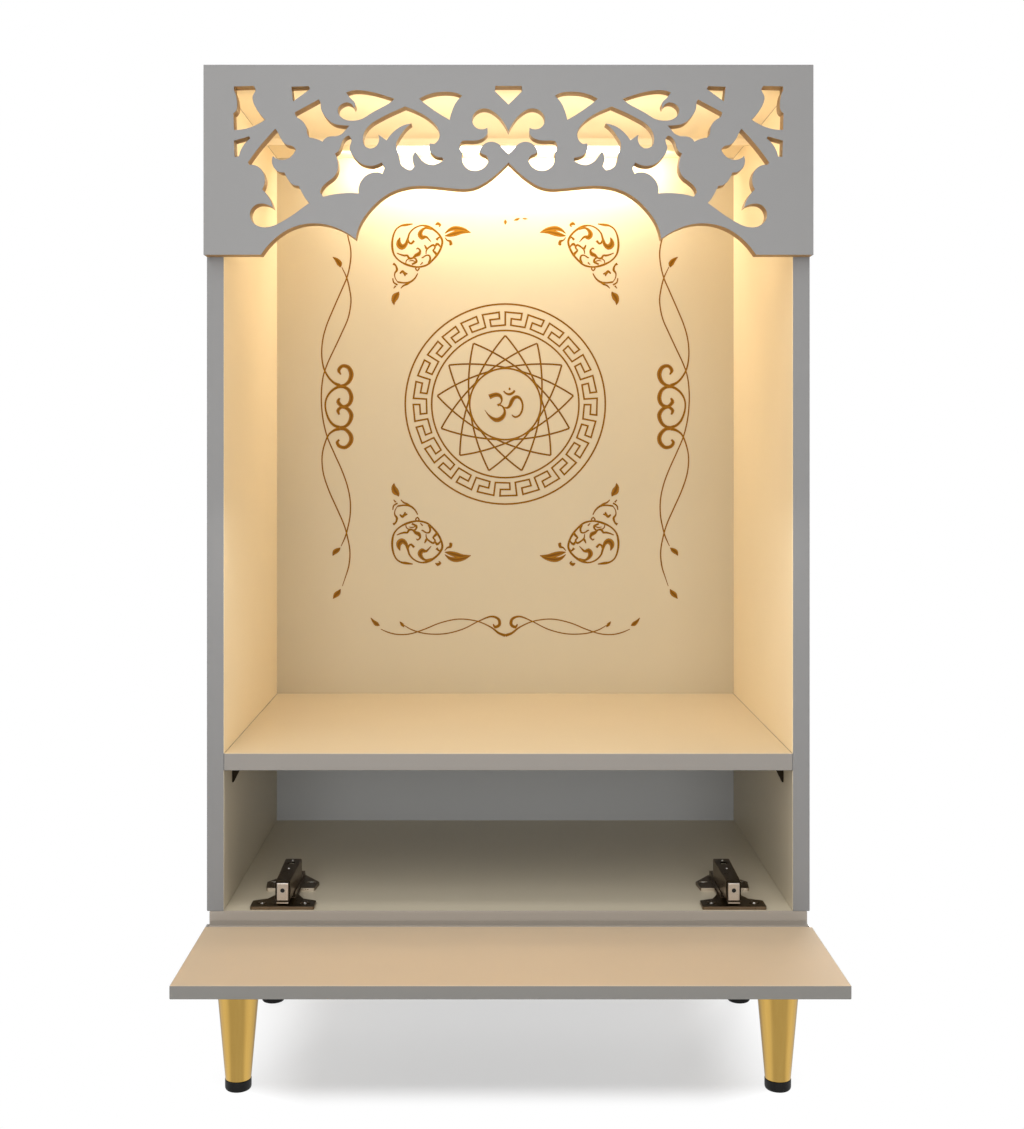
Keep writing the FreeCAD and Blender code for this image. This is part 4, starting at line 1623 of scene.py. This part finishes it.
@dataclass
class Fittings:
    """Hinge hardware, braces and the flap's pivots."""

    ease: float = 0.00035
    screw_radius: float = 0.0034
    screw_rise: float = 0.0012
    slot_setback: float = 0.012
    rear_slot_setback: float = 0.025
    front_wing: float = 0.064
    rear_wing: float = 0.055
    neck: float = 0.022
    plate_thickness: float = 0.0032
    plate_screw_radius: float = 0.0021
    plate_screw_level: float = 0.7
    edge_slack: float = 0.0002
    wing_gap: float = 0.05
    block_height: float = 0.0172
    lip_drops: Point = (0.0032, 0.002)
    stem_setback: float = 0.0015
    bore_radius: float = 0.0022
    bore_drop: float = 0.0075
    bore_setback: float = 0.0004
    bore_depth: float = 0.003
    rivet_setbacks: Point = (0.0435, 0.0725)
    rivet_sink: float = 0.0006
    adjuster_setback: float = 0.063
    adjuster_sink: float = 0.004
    adjuster_rise: float = 0.0026
    adjuster_turn: float = 0.9
    plate_screw_turn: float = 0.5
    shelf_screw_turn: float = 1.1
    brace_sheet: float = 0.0016
    side_screw: Point = (0.0058, 0.0028)
    shelf_screw: Point = (0.0078, 0.0026)
    metal_roughness: float = 0.3
    plated_grain: float = 1800.0

    RIVET = ((0.0, 0.0), (0.0012, 0.0), (0.0012, 0.0006), (0.001, 0.001), (0.0006, 0.0013), (0.0, 0.0014))
    RIVET_STEPS = 20
    BORE_STEPS = 24

    def finishes(self) -> HingeFinishes:
        """Makes the materials.

        Returns:
            The materials.
        """
        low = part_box("hinge_plate_left")[0]
        bronze = Bronzed(
            "bronzed", (130, 105, 70), (90, 71, 46), rear_start=low.y + self.wing_gap,
            edge_top=low.z + self.plate_thickness + self.edge_slack,
        )
        plain = {"roughness": self.metal_roughness, "grain_scale": self.plated_grain}
        plated = Metal("plated", (218, 215, 210), (206, 203, 198), **plain)
        nickel = Metal("nickel", (187, 179, 169), (170, 161, 151), **plain)
        # Painted shade for the blocks' holes.
        bore_shade = Rubber("painted_bore_shade", (10, 9, 8))
        return HingeFinishes(*(finish.material() for finish in (bronze, plated, nickel, bore_shade)))

    def build(self) -> None:
        """Dresses every fitting and adds its screws."""
        finish = self.finishes()
        for side in SIDES:
            for name in ("hinge_plate", "hinge_arm"):
                refine(f"{name}_{side}", self.ease, finish.bronze)
            self.front_block(side, finish)
            dress(f"flap_pivot_pin_{side}", finish.plated)
            dress(f"flap_pivot_plate_{side}", finish.plated)
            screws(f"hinge_arm_screw_{side}", [self.arm_screw(side)], finish.bronze)
            heads = self.plate_screws(side)
            for row in ROWS:
                refine(f"shelf_brace_{row}_{side}", self.ease, finish.bronze)
                heads += self.brace_screws(f"shelf_brace_{row}_{side}", side)
            screws(f"hinge_screws_{side}", heads, finish.plated)
            self.arm_rivets(side, finish.plated)

    def front_block(self, side: str, finish: HingeFinishes) -> None:
        """The nickel block in the arm's mouth, with a black disc in its hole as painted shade, and the
        bright lip under it.

        Args:
            side: Which side it is on, "left" or "right".
            finish: The materials.
        """
        node = f"hinge_front_block_{side}"
        low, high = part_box(node)
        under = high.z - self.block_height
        made = refined(node, self.ease / 2)
        everything = list(made.verts) + list(made.edges) + list(made.faces)
        cut = bmesh.ops.bisect_plane(
            made, geom=everything, dist=MERGE_REACH, plane_co=(0, 0, under), plane_no=UPWARDS,
            clear_inner=True,
        )
        rim = [part for part in cut["geom_cut"] if isinstance(part, bmesh.types.BMEdge)]
        bmesh.ops.holes_fill(made, edges=rim, sides=0)
        lip_low, lip_high = (under - drop for drop in self.lip_drops)
        block(made, Vector((low.x, low.y, lip_low)), Vector((high.x, high.y, lip_high)))
        stand_in(place_piece(f"{node}_detailed", made, finish.nickel), node)
        # The set-back bronze stem between block and lip, its front darkened by the bronze's painted shade.
        made = bmesh.new()
        block(made, Vector((low.x, low.y + self.stem_setback, low.z)), Vector((high.x, high.y, under)))
        place_piece(f"hinge_block_stem_{side}", made, finish.bronze)
        # A black disc just inside the block's hole: painted shade.
        mouth = ((low.x + high.x) / 2, low.y + self.bore_setback, high.z - self.bore_drop)
        axis = Matrix.Translation(mouth) @ Matrix.Rotation(-math.pi / 2, 4, "X")
        radius = self.bore_radius
        profile = ((0.0, 0.0), (radius, 0.0), (radius, self.bore_depth), (0.0, self.bore_depth))
        turned(f"hinge_bore_shade_{side}", profile, [axis], self.BORE_STEPS, finish.bore_shade, Slot.BLACK)

    def arm_rivets(self, side: str, plated: bpy.types.Material) -> None:
        """The two bright pips along an arm's top.

        Args:
            side: Which side it is on, "left" or "right".
            plated: Their material.
        """
        seats = [
            Matrix.Translation(self.on_arm(side, setback, self.rivet_sink))
            for setback in self.rivet_setbacks
        ]
        smooth(turned(f"hinge_rivets_{side}", self.RIVET, seats, self.RIVET_STEPS, plated, Slot.PLATED))

    @staticmethod
    def on_arm(side: str, setback: float, sink: float) -> Vector:
        """A point on a hinge arm's middle line, behind its front and under its top."""
        low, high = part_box(f"hinge_arm_{side}")
        return Vector(((low.x + high.x) / 2, low.y + setback, high.z - sink))

    def arm_screw(self, side: str) -> Screw:
        """The screw that adjusts a hinge arm, in the hole along its top."""
        seat = self.on_arm(side, self.adjuster_setback, self.adjuster_sink)
        return Screw(seat, Vector(UPWARDS), self.screw_radius, self.adjuster_rise, self.adjuster_turn)

    def plate_screws(self, side: str) -> list[Screw]:
        """The screws in the slots of a hinge plate.

        Args:
            side: Which side it is on, "left" or "right".

        Returns:
            The screws.
        """
        low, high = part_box(f"hinge_plate_{side}")
        middle = (low.x + high.x) / 2
        seat = low.z + self.plate_thickness * self.plate_screw_level
        rows = (
            (low.y + self.slot_setback, self.front_wing), (high.y - self.rear_slot_setback, self.rear_wing),
        )
        heads = []
        for row, (y, width) in enumerate(rows):
            for hand in (-1, 1):
                place = Vector((middle + hand * (width + self.neck) / 4, y, seat))
                turn = self.plate_screw_turn + row + hand
                heads.append(
                    Screw(place, Vector(UPWARDS), self.plate_screw_radius, self.screw_rise, turn)
                )
        return heads

    def brace_screws(self, node: str, side: str) -> list[Screw]:
        """The two screws of a corner brace: into the side board and up into the shelf.

        Args:
            node: The brace's name.
            side: Which side it is on, "left" or "right".

        Returns:
            The screws.
        """
        low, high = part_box(node)
        sheet = self.brace_sheet
        inward = 1 if side == "left" else -1
        wall = low.x if inward > 0 else high.x
        middle = (low.y + high.y) / 2 + sheet / 2
        height, side_radius = self.side_screw
        reach, shelf_radius = self.shelf_screw
        into_side = Vector((wall + inward * sheet, middle, low.z + height))
        into_shelf = Vector((wall + inward * reach, middle, high.z - sheet))
        return [
            Screw(into_side, Vector((inward, 0, 0)), side_radius, self.screw_rise),
            Screw(into_shelf, -Vector(UPWARDS), shelf_radius, self.screw_rise, self.shelf_screw_turn),
        ]


def main() -> None:
    """Builds and dresses the whole scene."""
    logging.basicConfig(level=logging.INFO, format="%(name)s: %(message)s")
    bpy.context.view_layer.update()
    Carcass().build()
    Engraving().build()
    CeilingLight().build()
    Legs().build()
    Fittings().build()
    Studio().build(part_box("left_side_panel")[0].y)


if __name__ == "__main__":
    main()
